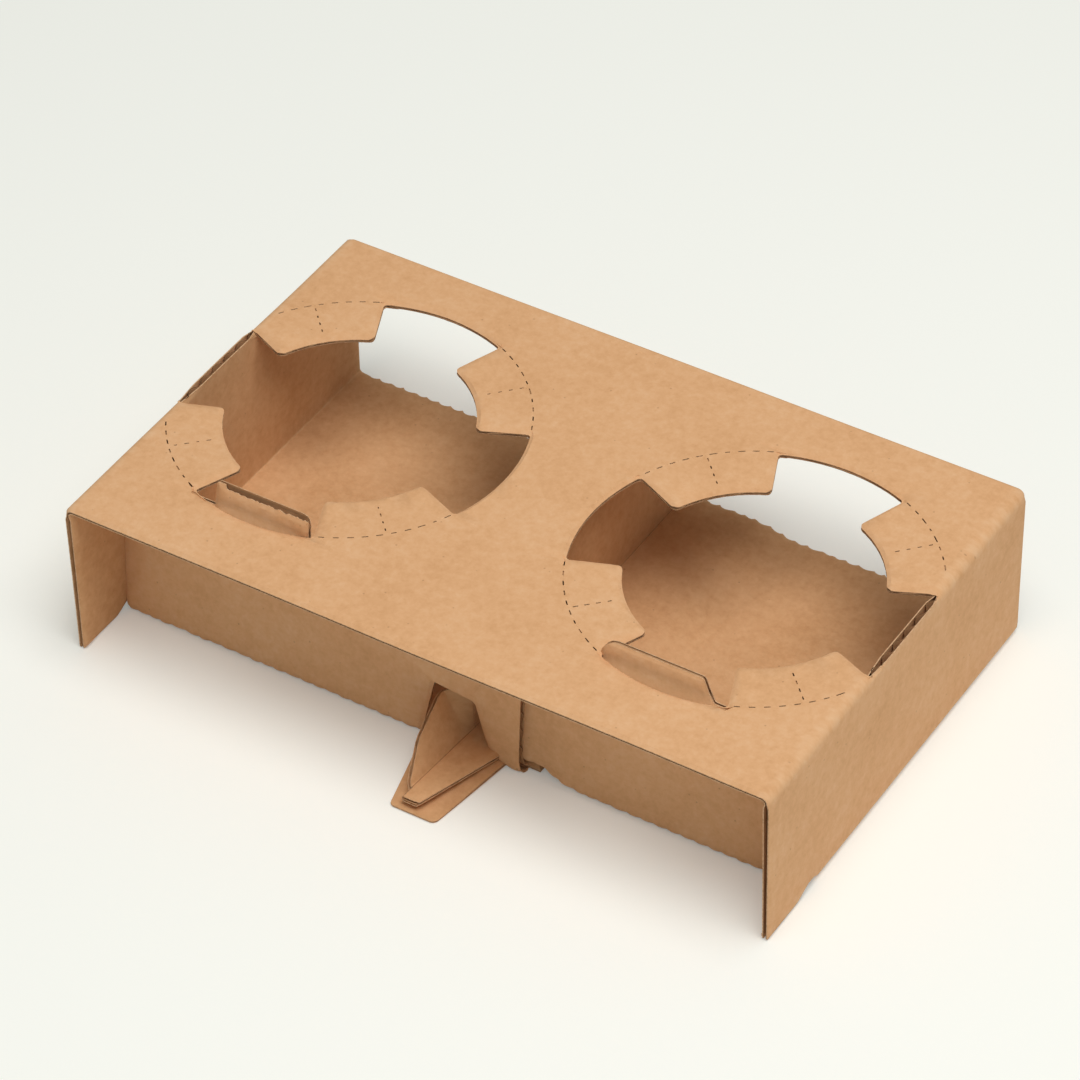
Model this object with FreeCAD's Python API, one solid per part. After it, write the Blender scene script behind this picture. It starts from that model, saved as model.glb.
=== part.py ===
# Two-cup carrier, folded from one die-cut blank of single-wall corrugated board.
# The sheet wraps round as a flat tube: divider, right bottom, right end, top, left end,
# left bottom. The left bottom laps under the right one. Each bottom has a front flap that
# folds up as a wall under the overhanging top, and a lock tab on each wall pokes up through
# the front gap of a cup hole. At the middle the flaps' cut-outs leave tongues lying in front.
# Frame: origin at the middle of the base, on the floor. +X runs along the length,
# +Y to the open back, +Z up. Lengths are in millimetres, angles in degrees.
import FreeCAD, Part
import math
import os

V = FreeCAD.Vector

# Board
BOARD = 2.3             # caliper of the board
LAYER_GAP = 0.2         # air between two layers that lie on each other
FOLD_IN = 1.1           # inside radius of a folded crease
CUT_CLEAR = 0.3         # air between a cut edge and the panel it stands against
JOIN = 3.0              # how far a piece of panel runs into the panel that carries it
PAST = 1.0              # how far a cutter reaches past the face that it opens
LINER = 0.3             # each outer paper of the board
MEDIUM = 0.35           # wall between two flutes where a cut edge shows them
FLUTE_PITCH = 5.7       # one wave of the fluting
FLUTE_DEPTH = 4.0       # how deep a cut across the flutes is open
SLOT_DEPTH = 1.6        # how deep a cut along the flutes is open between its liners

# Box
LENGTH = 213.4          # outside, end to end
DEPTH = 134.0           # outside, front edge to back edge of the top
HEIGHT = 50.0           # floor to the top face
FRONT_SETBACK = 18.4    # front edge of the top to the front wall's foot
WALL_LEAN = 5.1         # lean of the front walls, towards the back

# Cup holes
HOLE_FROM_END = 44.4    # end face to the hole's centre
HOLE_FROM_FRONT = 68.7  # front edge to the hole's centre
HINGE_R = 49.0          # radius of the perforated hinge line of the flaps
FLAP_R = 34.0           # radius at the flaps' free ends
FLAPS = 4               # flaps round a hole, with as many gaps between them
FLAP_CORNER = 2.6       # rounding of a flap's corners
GAP_CORNER = 1.2        # rounding of a gap's outer corners
DASH_LENGTH = 1.9       # one cut of the perforated lines
DASH_PITCH = 3.8        # from cut to cut
DASH_WIDTH = 0.6        # width of a cut
DASH_MARGIN = 1.6       # bare board between the middle line's cuts and the flap's ends
CHORD_DROP = 0.9        # cut top edge of an end panel, below the top face

# Wrap
DIVIDER_X = 3.2         # middle of the divider's thickness
DIVIDER_FRONT = 26.0    # front edge of the top to the divider's front edge
DIVIDER_BACK = 1.0      # back edge of the top to the divider's back edge
LAP_X = 25.8            # free edge of the left bottom
LAP_MARGIN = 1.2        # free edge of the left bottom to the top of the climb over it
RAMP_LENGTH = 11.0      # the right bottom climbs onto the left one over this length
RAMP_BEND = 4.0         # inside radius of the climb's two bends
DIVIDER_FOLD_IN = 0.6   # inside radius of the divider's sharper fold
WAVE_PITCH = 4.0        # one scallop of the bottoms' wave-cut back edge
WAVE_DEPTH = 0.9        # depth of the scallops
WING_STEP_RUN = 5.0     # cut-back of a wing's lower edge, along the depth
WING_STEP_RISE = 3.6    # and its height

# Front walls and lock tabs
APRON_X = 21.0          # free edge of the left wall
RIGHT_WALL_X = 9.0      # free edge of the right wall, behind the left one
CREASE_CUT_LENGTH = 2.2 # one cut of the perforated crease at a wall's foot
CREASE_CUT_PITCH = 4.1  # from cut to cut
CREASE_CUT_DEPTH = 0.8  # into the outside of the fold
LEFT_TAB = (16.0, 12.1)    # left tab's inboard and outboard sides, from the hole's centre
RIGHT_TAB = (18.2, 14.2)   # right tab's sides
TAB_RISE = 5.6          # tab's top edge above the top face
TAB_ROUND = 2.6         # rounding of a tab's inboard top corner
LEFT_TAB_TAPER = 0.6    # slant of the left tab's outboard side
RIGHT_TAB_TAPER = 2.9   # slant of the right tab's outboard side
TAB_FOOT = 4.0          # a tab's plate starts this far below the wall's top

# Cut-out and tongues at the middle of the front
CUTOUT_X = 1.0          # middle of the cut-out's top edge
CUTOUT_TOP = 13.0       # width of its top edge
CUTOUT_HEIGHT = 18.4    # its top edge above the floor
CUTOUT_FOOT_LEFT = 10.4   # its left foot, from the middle of its top edge
CUTOUT_FOOT_RIGHT = 10.6  # its right side just above the flare
CUTOUT_FLARE = 17.4     # its right foot at the floor
FLARE_HEIGHT = 4.2      # height of the flare
CUTOUT_ROUND = 2.0      # rounding of its top corners
TONGUE_X = 5.0          # middle of the lower tongue
TONGUE_REACH = 26.4     # front wall's foot to the lower tongue's tip
TONGUE_TIP = 13.6       # width of its tip
TONGUE_ROOT = 27.6      # width at its root
TONGUE_TIP_THICK = 1.0  # board crushed thin at the tip
TONGUE_ROUND = 1.6      # rounding of its tip corners
UPPER_TIP_SETBACK = 0.9    # upper tongue's tip behind the lower one's
UPPER_TIP_WIDTH = 6.8   # width of the upper tongue's tip
UPPER_ROOT_WIDTH = 12.6    # width at its root, from the crease of its upright half
CREASE_SKEW = 2.2       # sideways run of that crease from root to tip
UPRIGHT_THICK = 1.5     # upright half, crushed thinner than the board
UPRIGHT_SETBACK = 5.6   # upright half's front corner behind the lower tongue's tip
UPRIGHT_SHOULDER = (8.6, 8.2)   # its shoulder: back from the corner, and up the slope
UPRIGHT_PEAK = (20.8, 14.6)     # its peak: back from the corner, and up the slope
UPRIGHT_LEAN = 28.0     # its lean towards the left end


def sin_cos(angle):
    """Sine and cosine of an angle in degrees."""
    return math.sin(math.radians(angle)), math.cos(math.radians(angle))


def box(x0, x1, y0, y1, z0, z1):
    """Box between two corners."""
    return Part.makeBox(x1 - x0, y1 - y0, z1 - z0, V(x0, y0, z0))


def prism(points, direction):
    """Solid from a closed outline of 3-D points, pushed along a direction."""
    wire = Part.makePolygon(points + [points[0]])
    return Part.Face(wire).extrude(direction)


def round_edges(solid, places, axis, radius):
    """Fillet the edges that run along an axis and pass near the given places."""
    chosen = []
    for edge in solid.Edges:
        if len(edge.Vertexes) < 2:
            continue
        run = edge.Vertexes[1].Point.sub(edge.Vertexes[0].Point)
        if run.Length < 1e-6 or abs(abs(run.normalize().dot(axis)) - 1) > 1e-4:
            continue
        for place in places:
            if edge.distToShape(Part.Vertex(place))[0] < 0.05:
                chosen.append(edge)
                break
    return solid.makeFillet(radius, chosen) if chosen else solid


def bent_face(points, inside_radii, thickness, to_3d):
    """Section of a bent board: a centre line with a bend at each inner point.

    points are 2-D, inside_radii has one value per inner point, and to_3d
    places a 2-D point in space.
    """
    half = thickness / 2
    sides = {1: [], -1: []}
    joints = {1: [], -1: []}
    for side in (1, -1):
        first, second = points[0], points[1]
        angle = math.atan2(second[1] - first[1], second[0] - first[0])
        normal = (-math.sin(angle) * half * side, math.cos(angle) * half * side)
        joints[side].append((first[0] + normal[0], first[1] + normal[1]))
    for i in range(1, len(points) - 1):
        before, here, after = points[i - 1], points[i], points[i + 1]
        a_in = math.atan2(here[1] - before[1], here[0] - before[0])
        a_out = math.atan2(after[1] - here[1], after[0] - here[0])
        turn = (a_out - a_in + math.pi) % (2 * math.pi) - math.pi
        left = 1 if turn > 0 else -1
        radius = inside_radii[i - 1] + half
        run = radius * math.tan(abs(turn) / 2)
        start = (here[0] - math.cos(a_in) * run, here[1] - math.sin(a_in) * run)
        centre = (start[0] - math.sin(a_in) * radius * left, start[1] + math.cos(a_in) * radius * left)
        for side in (1, -1):
            r = radius - half * side * left
            arc = []
            for share in (0.0, 0.5, 1.0):
                a = a_in + turn * share - left * math.pi / 2
                arc.append((centre[0] + r * math.cos(a), centre[1] + r * math.sin(a)))
            sides[side].append(("line", joints[side][-1], arc[0]))
            sides[side].append(("arc",) + tuple(arc))
            joints[side].append(arc[2])
    for side in (1, -1):
        last, prior = points[-1], points[-2]
        angle = math.atan2(last[1] - prior[1], last[0] - prior[0])
        end = (last[0] - math.sin(angle) * half * side, last[1] + math.cos(angle) * half * side)
        sides[side].append(("line", joints[side][-1], end))
        joints[side].append(end)
    edges = []
    for side in (1, -1):
        for piece in sides[side]:
            placed = [to_3d(p) for p in piece[1:]]
            if piece[0] == "line":
                edges.append(Part.LineSegment(*placed).toShape())
            else:
                edges.append(Part.Arc(*placed).toShape())
    for end in (0, -1):
        edges.append(Part.LineSegment(to_3d(joints[1][end]), to_3d(joints[-1][end])).toShape())
    return Part.Face(Part.Wire(Part.__sortEdges__(edges)))


# Places worked out from the driving dimensions
END = LENGTH / 2
FRONT = -DEPTH / 2
BACK = DEPTH / 2
HALF = BOARD / 2
FOLD_OUT = FOLD_IN + BOARD
FOOT_Y = FRONT + FRONT_SETBACK
UPPER_Z = BOARD + LAYER_GAP
UNDER_TOP = HEIGHT - BOARD - CUT_CLEAR
HOLE_Y = FRONT + HOLE_FROM_FRONT
HOLE_X = END - HOLE_FROM_END
GAP_HALF_ANGLE = 180.0 / (2 * FLAPS)
RIGHT_FOOT_Y = FOOT_Y + BOARD + LAYER_GAP
TIP_Y = FOOT_Y - TONGUE_REACH
RAMP_END = LAP_X + LAP_MARGIN
RAMP_START = RAMP_END + RAMP_LENGTH


def wrapped_tube():
    """Divider, bottoms, ends and top as one bent strip, pushed along the depth."""
    line = [
        (LAP_X, HALF),
        (-END + HALF, HALF),
        (-END + HALF, HEIGHT - HALF),
        (END - HALF, HEIGHT - HALF),
        (END - HALF, HALF),
        (RAMP_START, HALF),
        (RAMP_END, UPPER_Z + HALF),
        (DIVIDER_X, UPPER_Z + HALF),
        (DIVIDER_X, UNDER_TOP),
    ]
    bends = [FOLD_IN, FOLD_IN, FOLD_IN, FOLD_IN, RAMP_BEND, RAMP_BEND, DIVIDER_FOLD_IN]
    face = bent_face(line, bends, BOARD, lambda p: V(p[0], FRONT, p[1]))
    tube = face.extrude(V(0, DEPTH, 0))
    core = BOARD - 2 * LINER
    core_bends = [bend + LINER for bend in bends]
    slots = []
    for start, stop in ((FRONT - PAST, FRONT + SLOT_DEPTH), (BACK + PAST, BACK - SLOT_DEPTH)):
        section = bent_face(line, core_bends, core, lambda p: V(p[0], start, p[1]))
        slots.append(section.extrude(V(0, stop - start, 0)))
    inner = END - BOARD
    under = box(-inner, inner, FRONT - PAST, FOOT_Y + FOLD_OUT, -PAST, HEIGHT - BOARD - FOLD_IN)
    divider_front = FRONT + DIVIDER_FRONT
    divider_back = BACK - DIVIDER_BACK
    front_of_divider = box(DIVIDER_X - BOARD, DIVIDER_X + BOARD, FRONT - PAST, divider_front,
                           UPPER_Z + FOLD_OUT, UNDER_TOP + CUT_CLEAR / 2)
    behind_divider = box(DIVIDER_X - BOARD, DIVIDER_X + BOARD, divider_back, BACK + PAST,
                         UPPER_Z + FOLD_OUT, UNDER_TOP + CUT_CLEAR / 2)
    return tube.cut([under, front_of_divider, behind_divider, wave_cutter()] + slots)


def wave_cutter():
    """Cutter for the scalloped back edge of the two bottoms."""
    start, stop = -END + FOLD_OUT, END - FOLD_OUT
    count = int((stop - start) / WAVE_PITCH)
    step = (stop - start) / count
    valley = BACK - WAVE_DEPTH
    edges = []
    for i in range(count):
        x = start + i * step
        low, peak, high = V(x, valley, -PAST), V(x + step / 2, BACK, -PAST), V(x + step, valley, -PAST)
        edges.append(Part.Arc(low, peak, high).toShape())
    outer = [V(stop, valley, -PAST), V(stop, BACK + PAST, -PAST),
             V(start, BACK + PAST, -PAST), V(start, valley, -PAST)]
    for first, second in zip(outer, outer[1:]):
        edges.append(Part.LineSegment(first, second).toShape())
    face = Part.Face(Part.Wire(Part.__sortEdges__(edges)))
    return face.extrude(V(0, 0, UPPER_Z + FOLD_OUT + PAST))


def flute_voids(corner, along, across, inward, run):
    """Open ends of the flutes in a cut edge: triangles that alternate along its run.

    corner is one end of the cut on one liner's face, along and across point
    along the cut and through the board, and inward points into the board.
    """
    voids = []
    near, far = across * LINER, across * (BOARD - LINER)
    count = int(run / (FLUTE_PITCH / 2)) - 1
    margin = (run - (count + 1) * FLUTE_PITCH / 2) / 2
    for i in range(count):
        start = margin + i * FLUTE_PITCH / 2 + MEDIUM
        stop = start + FLUTE_PITCH - 2 * MEDIUM
        base, tip = (near, far) if i % 2 == 0 else (far, near)
        points = [corner + base + along * start, corner + base + along * stop,
                  corner + tip + along * ((start + stop) / 2)]
        voids.append(prism(points, inward * FLUTE_DEPTH))
    return voids


def chord_voids(side):
    """Open flutes in the end panel's top edge, where a cup hole cuts it."""
    chord = (HOLE_FROM_END - BOARD) * math.tan(math.radians(GAP_HALF_ANGLE))
    corner = V(side * (END - BOARD), HOLE_Y - chord, HEIGHT - CHORD_DROP)
    return flute_voids(corner, V(0, 1, 0), V(side, 0, 0), V(0, 0, -1), 2 * chord)


def dashes(side):
    """Cutters for the perforated lines: the flaps' hinges and the middles of the flaps."""
    centre = V(side * HOLE_X, HOLE_Y, 0)
    step = 360.0 / FLAPS
    arc = math.radians(step - 2 * GAP_HALF_ANGLE) * HINGE_R
    on_arc = int(arc / DASH_PITCH)
    on_line = int((HINGE_R - FLAP_R - 2 * DASH_MARGIN) / DASH_PITCH) + 1
    cutters = []
    for flap in range(FLAPS):
        middle = (flap + 0.5) * step
        spots = []
        for i in range(on_arc):
            angle = middle + math.degrees((i - (on_arc - 1) / 2) * DASH_PITCH / HINGE_R)
            spots.append((HINGE_R, angle, 90))
        for i in range(on_line):
            spots.append((HINGE_R - DASH_MARGIN - i * DASH_PITCH, middle, 0))
        for radius, angle, turn in spots:
            s, c = sin_cos(angle)
            spot = centre + V(radius * c, radius * s, 0)
            if abs(spot.x) > END - FOLD_OUT - DASH_LENGTH / 2:
                continue
            length, width = DASH_LENGTH / 2, DASH_WIDTH / 2
            cut = box(-length, length, -width, width, -BOARD - PAST, PAST)
            cut.rotate(V(0, 0, 0), V(0, 0, 1), angle + turn)
            cut.translate(V(spot.x, spot.y, HEIGHT))
            cutters.append(cut)
    return cutters


def wing_steps():
    """Cutters for the slanted step at the back of each wing's lower edge."""
    back = FOOT_Y + CUT_CLEAR
    front = back - WING_STEP_RUN
    outline = [(front, 0), (back, WING_STEP_RISE), (back, -PAST), (front, -PAST)]
    cutters = []
    for side in (-1, 1):
        start = side * (END - BOARD - CUT_CLEAR / 2)
        cutters.append(prism([V(start, y, z) for y, z in outline], V(side * (BOARD + PAST), 0, 0)))
    return cutters


def wing_feet():
    """Square lower ends of the end panels, in front of the folded bottom."""
    feet = []
    for side in (-1, 1):
        x0, x1 = sorted((side * END, side * (END - BOARD)))
        feet.append(box(x0, x1, FRONT, FOOT_Y, 0, FOLD_OUT + JOIN))
    return feet


def hole_cutter(side):
    """Cutter for one cup hole: a round with gaps out to the hinge line."""
    centre = V(side * HOLE_X, HOLE_Y, HEIGHT - BOARD - PAST)
    step = 360.0 / FLAPS

    def at(radius, angle):
        s, c = sin_cos(angle)
        return V(centre.x + radius * c, centre.y + radius * s, centre.z)

    edges = []
    inner, outer = [], []
    for i in range(FLAPS):
        middle = i * step
        low, high = middle - GAP_HALF_ANGLE, middle + GAP_HALF_ANGLE
        edges.append(Part.LineSegment(at(FLAP_R, low), at(HINGE_R, low)).toShape())
        edges.append(Part.Arc(at(HINGE_R, low), at(HINGE_R, middle), at(HINGE_R, high)).toShape())
        edges.append(Part.LineSegment(at(HINGE_R, high), at(FLAP_R, high)).toShape())
        following = (i + 1) * step - GAP_HALF_ANGLE
        edges.append(Part.Arc(at(FLAP_R, high), at(FLAP_R, (high + following) / 2),
                              at(FLAP_R, following)).toShape())
        inner += [at(FLAP_R, low), at(FLAP_R, high)]
        outer += [at(HINGE_R, low), at(HINGE_R, high)]
    cutter = Part.Face(Part.Wire(Part.__sortEdges__(edges))).extrude(V(0, 0, BOARD + 2 * PAST))
    cutter = round_edges(cutter, inner, V(0, 0, 1), FLAP_CORNER)
    cutter = round_edges(cutter, outer, V(0, 0, 1), GAP_CORNER)
    inside = END - BOARD
    cutter = cutter.common(box(-inside, inside, FRONT, BACK, centre.z, HEIGHT + PAST))
    chord = (HOLE_FROM_END - BOARD) * math.tan(math.radians(GAP_HALF_ANGLE))
    x0, x1 = sorted((side * inside, side * (END + PAST)))
    slot = box(x0, x1, HOLE_Y - chord, HOLE_Y + chord, HEIGHT - CHORD_DROP, HEIGHT + PAST)
    return [cutter, slot]


def wall_point(foot_y, x, up):
    """Point on the outer face of a leaning front wall."""
    s, c = sin_cos(WALL_LEAN)
    return V(x, foot_y + up * s, up * c)


def wall_plate(foot_y, outline):
    """Leaning plate from an outline of (x, height) on its outer face."""
    s, c = sin_cos(WALL_LEAN)
    points = [wall_point(foot_y, x, z / c) for x, z in outline]
    return prism(points, V(0, c * BOARD, -s * BOARD))


def crease_cuts(foot_y, x0, x1):
    """Cutters for the perforated crease along the outside of a wall's foot."""
    s, c = sin_cos(WALL_LEAN)
    centre_y = foot_y + HALF / c + HALF * s / c + (FOLD_IN + HALF) * (1 - s) / c
    middle = 45             # the cuts are in the middle of the fold's quarter turn
    rise, run = sin_cos(middle)
    reach = FOLD_OUT - CREASE_CUT_DEPTH
    count = int((x1 - x0) / CREASE_CUT_PITCH)
    margin = (x1 - x0 - (count - 1) * CREASE_CUT_PITCH - CREASE_CUT_LENGTH) / 2
    cutters = []
    for i in range(count):
        cut = box(0, CREASE_CUT_LENGTH, -DASH_WIDTH / 2, DASH_WIDTH / 2, 0, CREASE_CUT_DEPTH + PAST)
        cut.rotate(V(0, 0, 0), V(1, 0, 0), 180 - middle)
        spot = V(x0 + margin + i * CREASE_CUT_PITCH, centre_y - reach * run, FOLD_OUT - reach * rise)
        cut.translate(spot)
        cutters.append(cut)
    return cutters


def wall_fold(foot_y, x0, x1, reach):
    """Folded crease between a bottom panel and its front wall."""
    s, c = sin_cos(WALL_LEAN)
    corner_y = foot_y + HALF / c + HALF * s / c
    rise = FOLD_OUT + JOIN
    line = [(corner_y + reach, HALF), (corner_y, HALF), (corner_y + rise * s, HALF + rise * c)]
    face = bent_face(line, [FOLD_IN], BOARD, lambda p: V(x0, p[0], p[1]))
    return face.extrude(V(x1 - x0, 0, 0))


def lock_tab(foot_y, side, sides, taper):
    """Lock tab that rises from a wall's top edge through the hole's front gap."""
    inboard = side * (HOLE_X - sides[0])
    outboard = side * (HOLE_X + sides[1])
    top = HEIGHT + TAB_RISE
    foot = UNDER_TOP - TAB_FOOT
    outline = [(inboard, foot), (outboard, foot), (outboard, HEIGHT - BOARD),
               (outboard - side * taper, top), (inboard, top)]
    tab = wall_plate(foot_y, outline)
    s, c = sin_cos(WALL_LEAN)
    corner = wall_point(foot_y, inboard, top / c)
    return round_edges(tab, [corner], V(0, c, -s), TAB_ROUND)


def cutout_cutter():
    """Cutter for the opening that the lower tongue leaves in the left wall."""
    half = CUTOUT_TOP / 2
    outline = [
        (CUTOUT_X - half, CUTOUT_HEIGHT),
        (CUTOUT_X - CUTOUT_FOOT_LEFT, 0),
        (CUTOUT_X - CUTOUT_FOOT_LEFT, -PAST),
        (CUTOUT_X + CUTOUT_FLARE, -PAST),
        (CUTOUT_X + CUTOUT_FLARE, 0),
        (CUTOUT_X + CUTOUT_FOOT_RIGHT, FLARE_HEIGHT),
        (CUTOUT_X + half, CUTOUT_HEIGHT),
    ]
    start, stop = FRONT, FOOT_Y + FOLD_OUT
    cutter = prism([V(x, start, z) for x, z in outline], V(0, stop - start, 0))
    corners = [V(CUTOUT_X + half, start, CUTOUT_HEIGHT),
               V(CUTOUT_X + CUTOUT_FOOT_RIGHT, start, FLARE_HEIGHT)]
    return round_edges(cutter, corners, V(0, 1, 0), CUTOUT_ROUND)


def corner_relief(side, foot_y):
    """Cutter that keeps a wall's lower corner clear of the end panel's fold."""
    inside = END - BOARD
    x0, x1 = sorted((side * (inside + PAST), side * (END - FOLD_OUT - CUT_CLEAR)))
    return box(x0, x1, foot_y - PAST, foot_y + FOLD_OUT, -PAST, FOLD_OUT + CUT_CLEAR)


def left_wall():
    """Front wall folded up from the left bottom, with its tab and its cut-out."""
    outboard = -END + BOARD + CUT_CLEAR
    plate = wall_plate(FOOT_Y, [(outboard, FOLD_OUT), (APRON_X, FOLD_OUT),
                                (APRON_X, UNDER_TOP), (outboard, UNDER_TOP)])
    fold = wall_fold(FOOT_Y, outboard, APRON_X, FOLD_OUT + JOIN)
    tab = lock_tab(FOOT_Y, -1, LEFT_TAB, LEFT_TAB_TAPER)
    s, c = sin_cos(WALL_LEAN)
    low = wall_point(FOOT_Y, APRON_X, FOLD_OUT)
    open_flutes = flute_voids(low, V(0, s, c), V(0, c, -s), V(-1, 0, 0), UNDER_TOP / c - FOLD_OUT)
    left_cuts = crease_cuts(FOOT_Y, outboard + BOARD, CUTOUT_X - CUTOUT_FOOT_LEFT)
    wall = plate.fuse([fold, tab])
    return wall.cut([cutout_cutter(), corner_relief(-1, FOOT_Y)] + open_flutes + left_cuts)


def right_wall():
    """Front wall folded up from the right bottom, one layer behind the left one."""
    outboard = END - BOARD - CUT_CLEAR
    side = RIGHT_WALL_X
    low = UPPER_Z + HALF
    plate = wall_plate(RIGHT_FOOT_Y, [
        (RAMP_START, HALF), (outboard, HALF), (outboard, UNDER_TOP), (side, UNDER_TOP),
        (side, CUTOUT_HEIGHT), (CUTOUT_X + CUTOUT_FOOT_RIGHT + CUT_CLEAR, low + FLARE_HEIGHT),
        (CUTOUT_X + CUTOUT_FLARE, low), (RAMP_END, low)])
    trimmed = plate.cut(box(RAMP_START, END, FRONT, RIGHT_FOOT_Y + FOLD_OUT, -PAST, FOLD_OUT))
    fold = wall_fold(RIGHT_FOOT_Y, RAMP_START, outboard, FOLD_OUT + JOIN)
    tab = lock_tab(RIGHT_FOOT_Y, 1, RIGHT_TAB, RIGHT_TAB_TAPER)
    wall = trimmed.fuse([fold, tab])
    right_cuts = crease_cuts(RIGHT_FOOT_Y, RAMP_START, outboard - BOARD)
    return wall.cut([corner_relief(1, RIGHT_FOOT_Y)] + right_cuts)


def right_sill():
    """Front edge of the right bottom where it climbs and lies on the left bottom."""
    line = [(RAMP_START + BOARD, HALF), (RAMP_START, HALF), (RAMP_END, UPPER_Z + HALF),
            (CUTOUT_X + CUTOUT_FLARE, UPPER_Z + HALF)]
    face = bent_face(line, [RAMP_BEND, RAMP_BEND], BOARD, lambda p: V(p[0], RIGHT_FOOT_Y, p[1]))
    return face.extrude(V(0, FOLD_OUT + JOIN, 0))


def lower_tongue():
    """Tongue cut from the left wall and left flat, crushed thin towards its tip."""
    tip, root = TONGUE_TIP / 2, TONGUE_ROOT / 2
    back = FOOT_Y + FOLD_OUT + JOIN
    outline = [V(TONGUE_X - tip, TIP_Y, 0), V(TONGUE_X + tip, TIP_Y, 0),
               V(TONGUE_X + root, FOOT_Y, 0), V(TONGUE_X + root, back, 0),
               V(TONGUE_X - root, back, 0), V(TONGUE_X - root, FOOT_Y, 0)]
    plate = prism(outline, V(0, 0, BOARD))
    plate = round_edges(plate, outline[:2], V(0, 0, 1), TONGUE_ROUND)
    front, above = TIP_Y - PAST, BOARD + PAST
    wedge = prism([V(-END, front, TONGUE_TIP_THICK), V(-END, TIP_Y, TONGUE_TIP_THICK),
                   V(-END, FOOT_Y, BOARD), V(-END, FOOT_Y, above), V(-END, front, above)],
                  V(LENGTH, 0, 0))
    return plate.cut(wedge)


def upper_tongue():
    """Tongue of the right bottom that lies on the lower one, up to the upright half's crease."""
    crease = DIVIDER_X + HALF
    tip_y = TIP_Y + UPPER_TIP_SETBACK
    back = RIGHT_FOOT_Y + FOLD_OUT + JOIN
    left_tip = crease - CREASE_SKEW
    root = crease + UPPER_ROOT_WIDTH
    outline = [V(left_tip, tip_y, UPPER_Z), V(left_tip + UPPER_TIP_WIDTH, tip_y, UPPER_Z),
               V(root, RIGHT_FOOT_Y, UPPER_Z), V(root, back, UPPER_Z),
               V(crease - BOARD, back, UPPER_Z), V(crease - UPRIGHT_THICK, RIGHT_FOOT_Y, UPPER_Z),
               V(left_tip - UPRIGHT_THICK / 2, tip_y + UPRIGHT_SETBACK, UPPER_Z)]
    plate = prism(outline, V(0, 0, BOARD))
    return round_edges(plate, [outline[1]], V(0, 0, 1), TONGUE_ROUND / 2)


def upright_half():
    """Half of the upper tongue that stands up with the divider and leans in the cut-out."""
    crease = DIVIDER_X + HALF
    corner_y = TIP_Y + UPRIGHT_SETBACK
    run = RIGHT_FOOT_Y - corner_y
    along = V(CREASE_SKEW, run, 0).normalize()
    s, c = sin_cos(UPRIGHT_LEAN)
    up = V(-s, 0, c)
    corner = V(crease - CREASE_SKEW, corner_y, UPPER_Z + HALF)
    reach = run + FOLD_OUT + JOIN
    outline_2d = [(0, 0), UPRIGHT_SHOULDER, UPRIGHT_PEAK, (reach, UPRIGHT_PEAK[1]), (reach, 0)]
    points = [corner + along * a + up * b for a, b in outline_2d]
    normal = up.cross(along).normalize()
    if normal.x > 0:
        normal = normal * -1
    return prism(points, normal * UPRIGHT_THICK)


def carrier():
    """The folded carrier as one solid."""
    cuts = wing_steps()
    tube = wrapped_tube().fuse(wing_feet())
    for side in (-1, 1):
        tube = tube.cut(hole_cutter(side))
        cuts += dashes(side) + chord_voids(side)
    tube = tube.cut(cuts)
    body = tube.fuse([left_wall(), right_wall(), right_sill(), lower_tongue(), upper_tongue(),
                      upright_half()])
    return body.removeSplitter()


def main():
    """Build the carrier and write it."""
    os.makedirs("parts", exist_ok=True)
    body = carrier()
    print("solids", len(body.Solids), "volume", round(body.Volume), "valid", body.isValid())
    print("box", body.BoundBox)
    body.exportStep("parts/folded_carrier.step")


main()
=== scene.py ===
"""Looks of the corrugated two-cup carrier.

The carrier is dressed the way it is made. A flat die-cut blank is drawn once, in
millimetres: u runs along the wrap, with u = 0 at the middle of the top, and v runs from
the front to the back. Three layers are cut from that blank: an outer liner, a fluted
medium and an inner liner. Each layer is then folded round the frame's box.
"""

from __future__ import annotations

import logging
import math
from dataclasses import dataclass, field
from enum import Enum
from typing import Callable, Iterator

import bmesh
import bpy
from mathutils import Matrix, Vector, kdtree, noise


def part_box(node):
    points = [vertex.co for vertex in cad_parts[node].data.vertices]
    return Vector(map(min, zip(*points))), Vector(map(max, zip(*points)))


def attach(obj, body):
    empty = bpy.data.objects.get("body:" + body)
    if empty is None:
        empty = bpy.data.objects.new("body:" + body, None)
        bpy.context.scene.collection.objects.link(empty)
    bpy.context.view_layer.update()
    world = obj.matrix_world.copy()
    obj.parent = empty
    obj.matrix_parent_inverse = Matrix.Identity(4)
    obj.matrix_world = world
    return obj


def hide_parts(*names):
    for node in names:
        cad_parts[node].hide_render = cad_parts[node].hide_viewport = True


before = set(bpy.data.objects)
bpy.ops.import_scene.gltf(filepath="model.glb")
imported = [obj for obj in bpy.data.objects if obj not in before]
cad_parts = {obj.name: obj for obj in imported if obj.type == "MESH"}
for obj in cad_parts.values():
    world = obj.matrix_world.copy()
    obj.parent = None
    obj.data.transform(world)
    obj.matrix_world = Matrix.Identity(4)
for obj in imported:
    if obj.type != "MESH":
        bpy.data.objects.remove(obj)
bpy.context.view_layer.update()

MM = 0.001
FACE, EDGE, PIERCED = range(3)
# Colour sockets of a Mix node: its two inputs and its result.
MIX_A, MIX_B, MIX_RESULT = 6, 7, 2
NODE = "folded_carrier"
SHEET_UV = "sheet"

Point = tuple[float, float]
Corner = tuple[float, float, float]

log = logging.getLogger("carrier")


class Layer(Enum):
    """The three papers that make single-wall board."""

    OUTER_LINER = "outer_liner"
    FLUTING = "fluting"
    INNER_LINER = "inner_liner"


class Side(Enum):
    """The two halves of the wrap, either side of the middle of the top."""

    LEFT = -1
    RIGHT = 1


class Axis(Enum):
    """Directions on the blank: along the wrap, and from front to back."""

    U = 0
    V = 1


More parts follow.
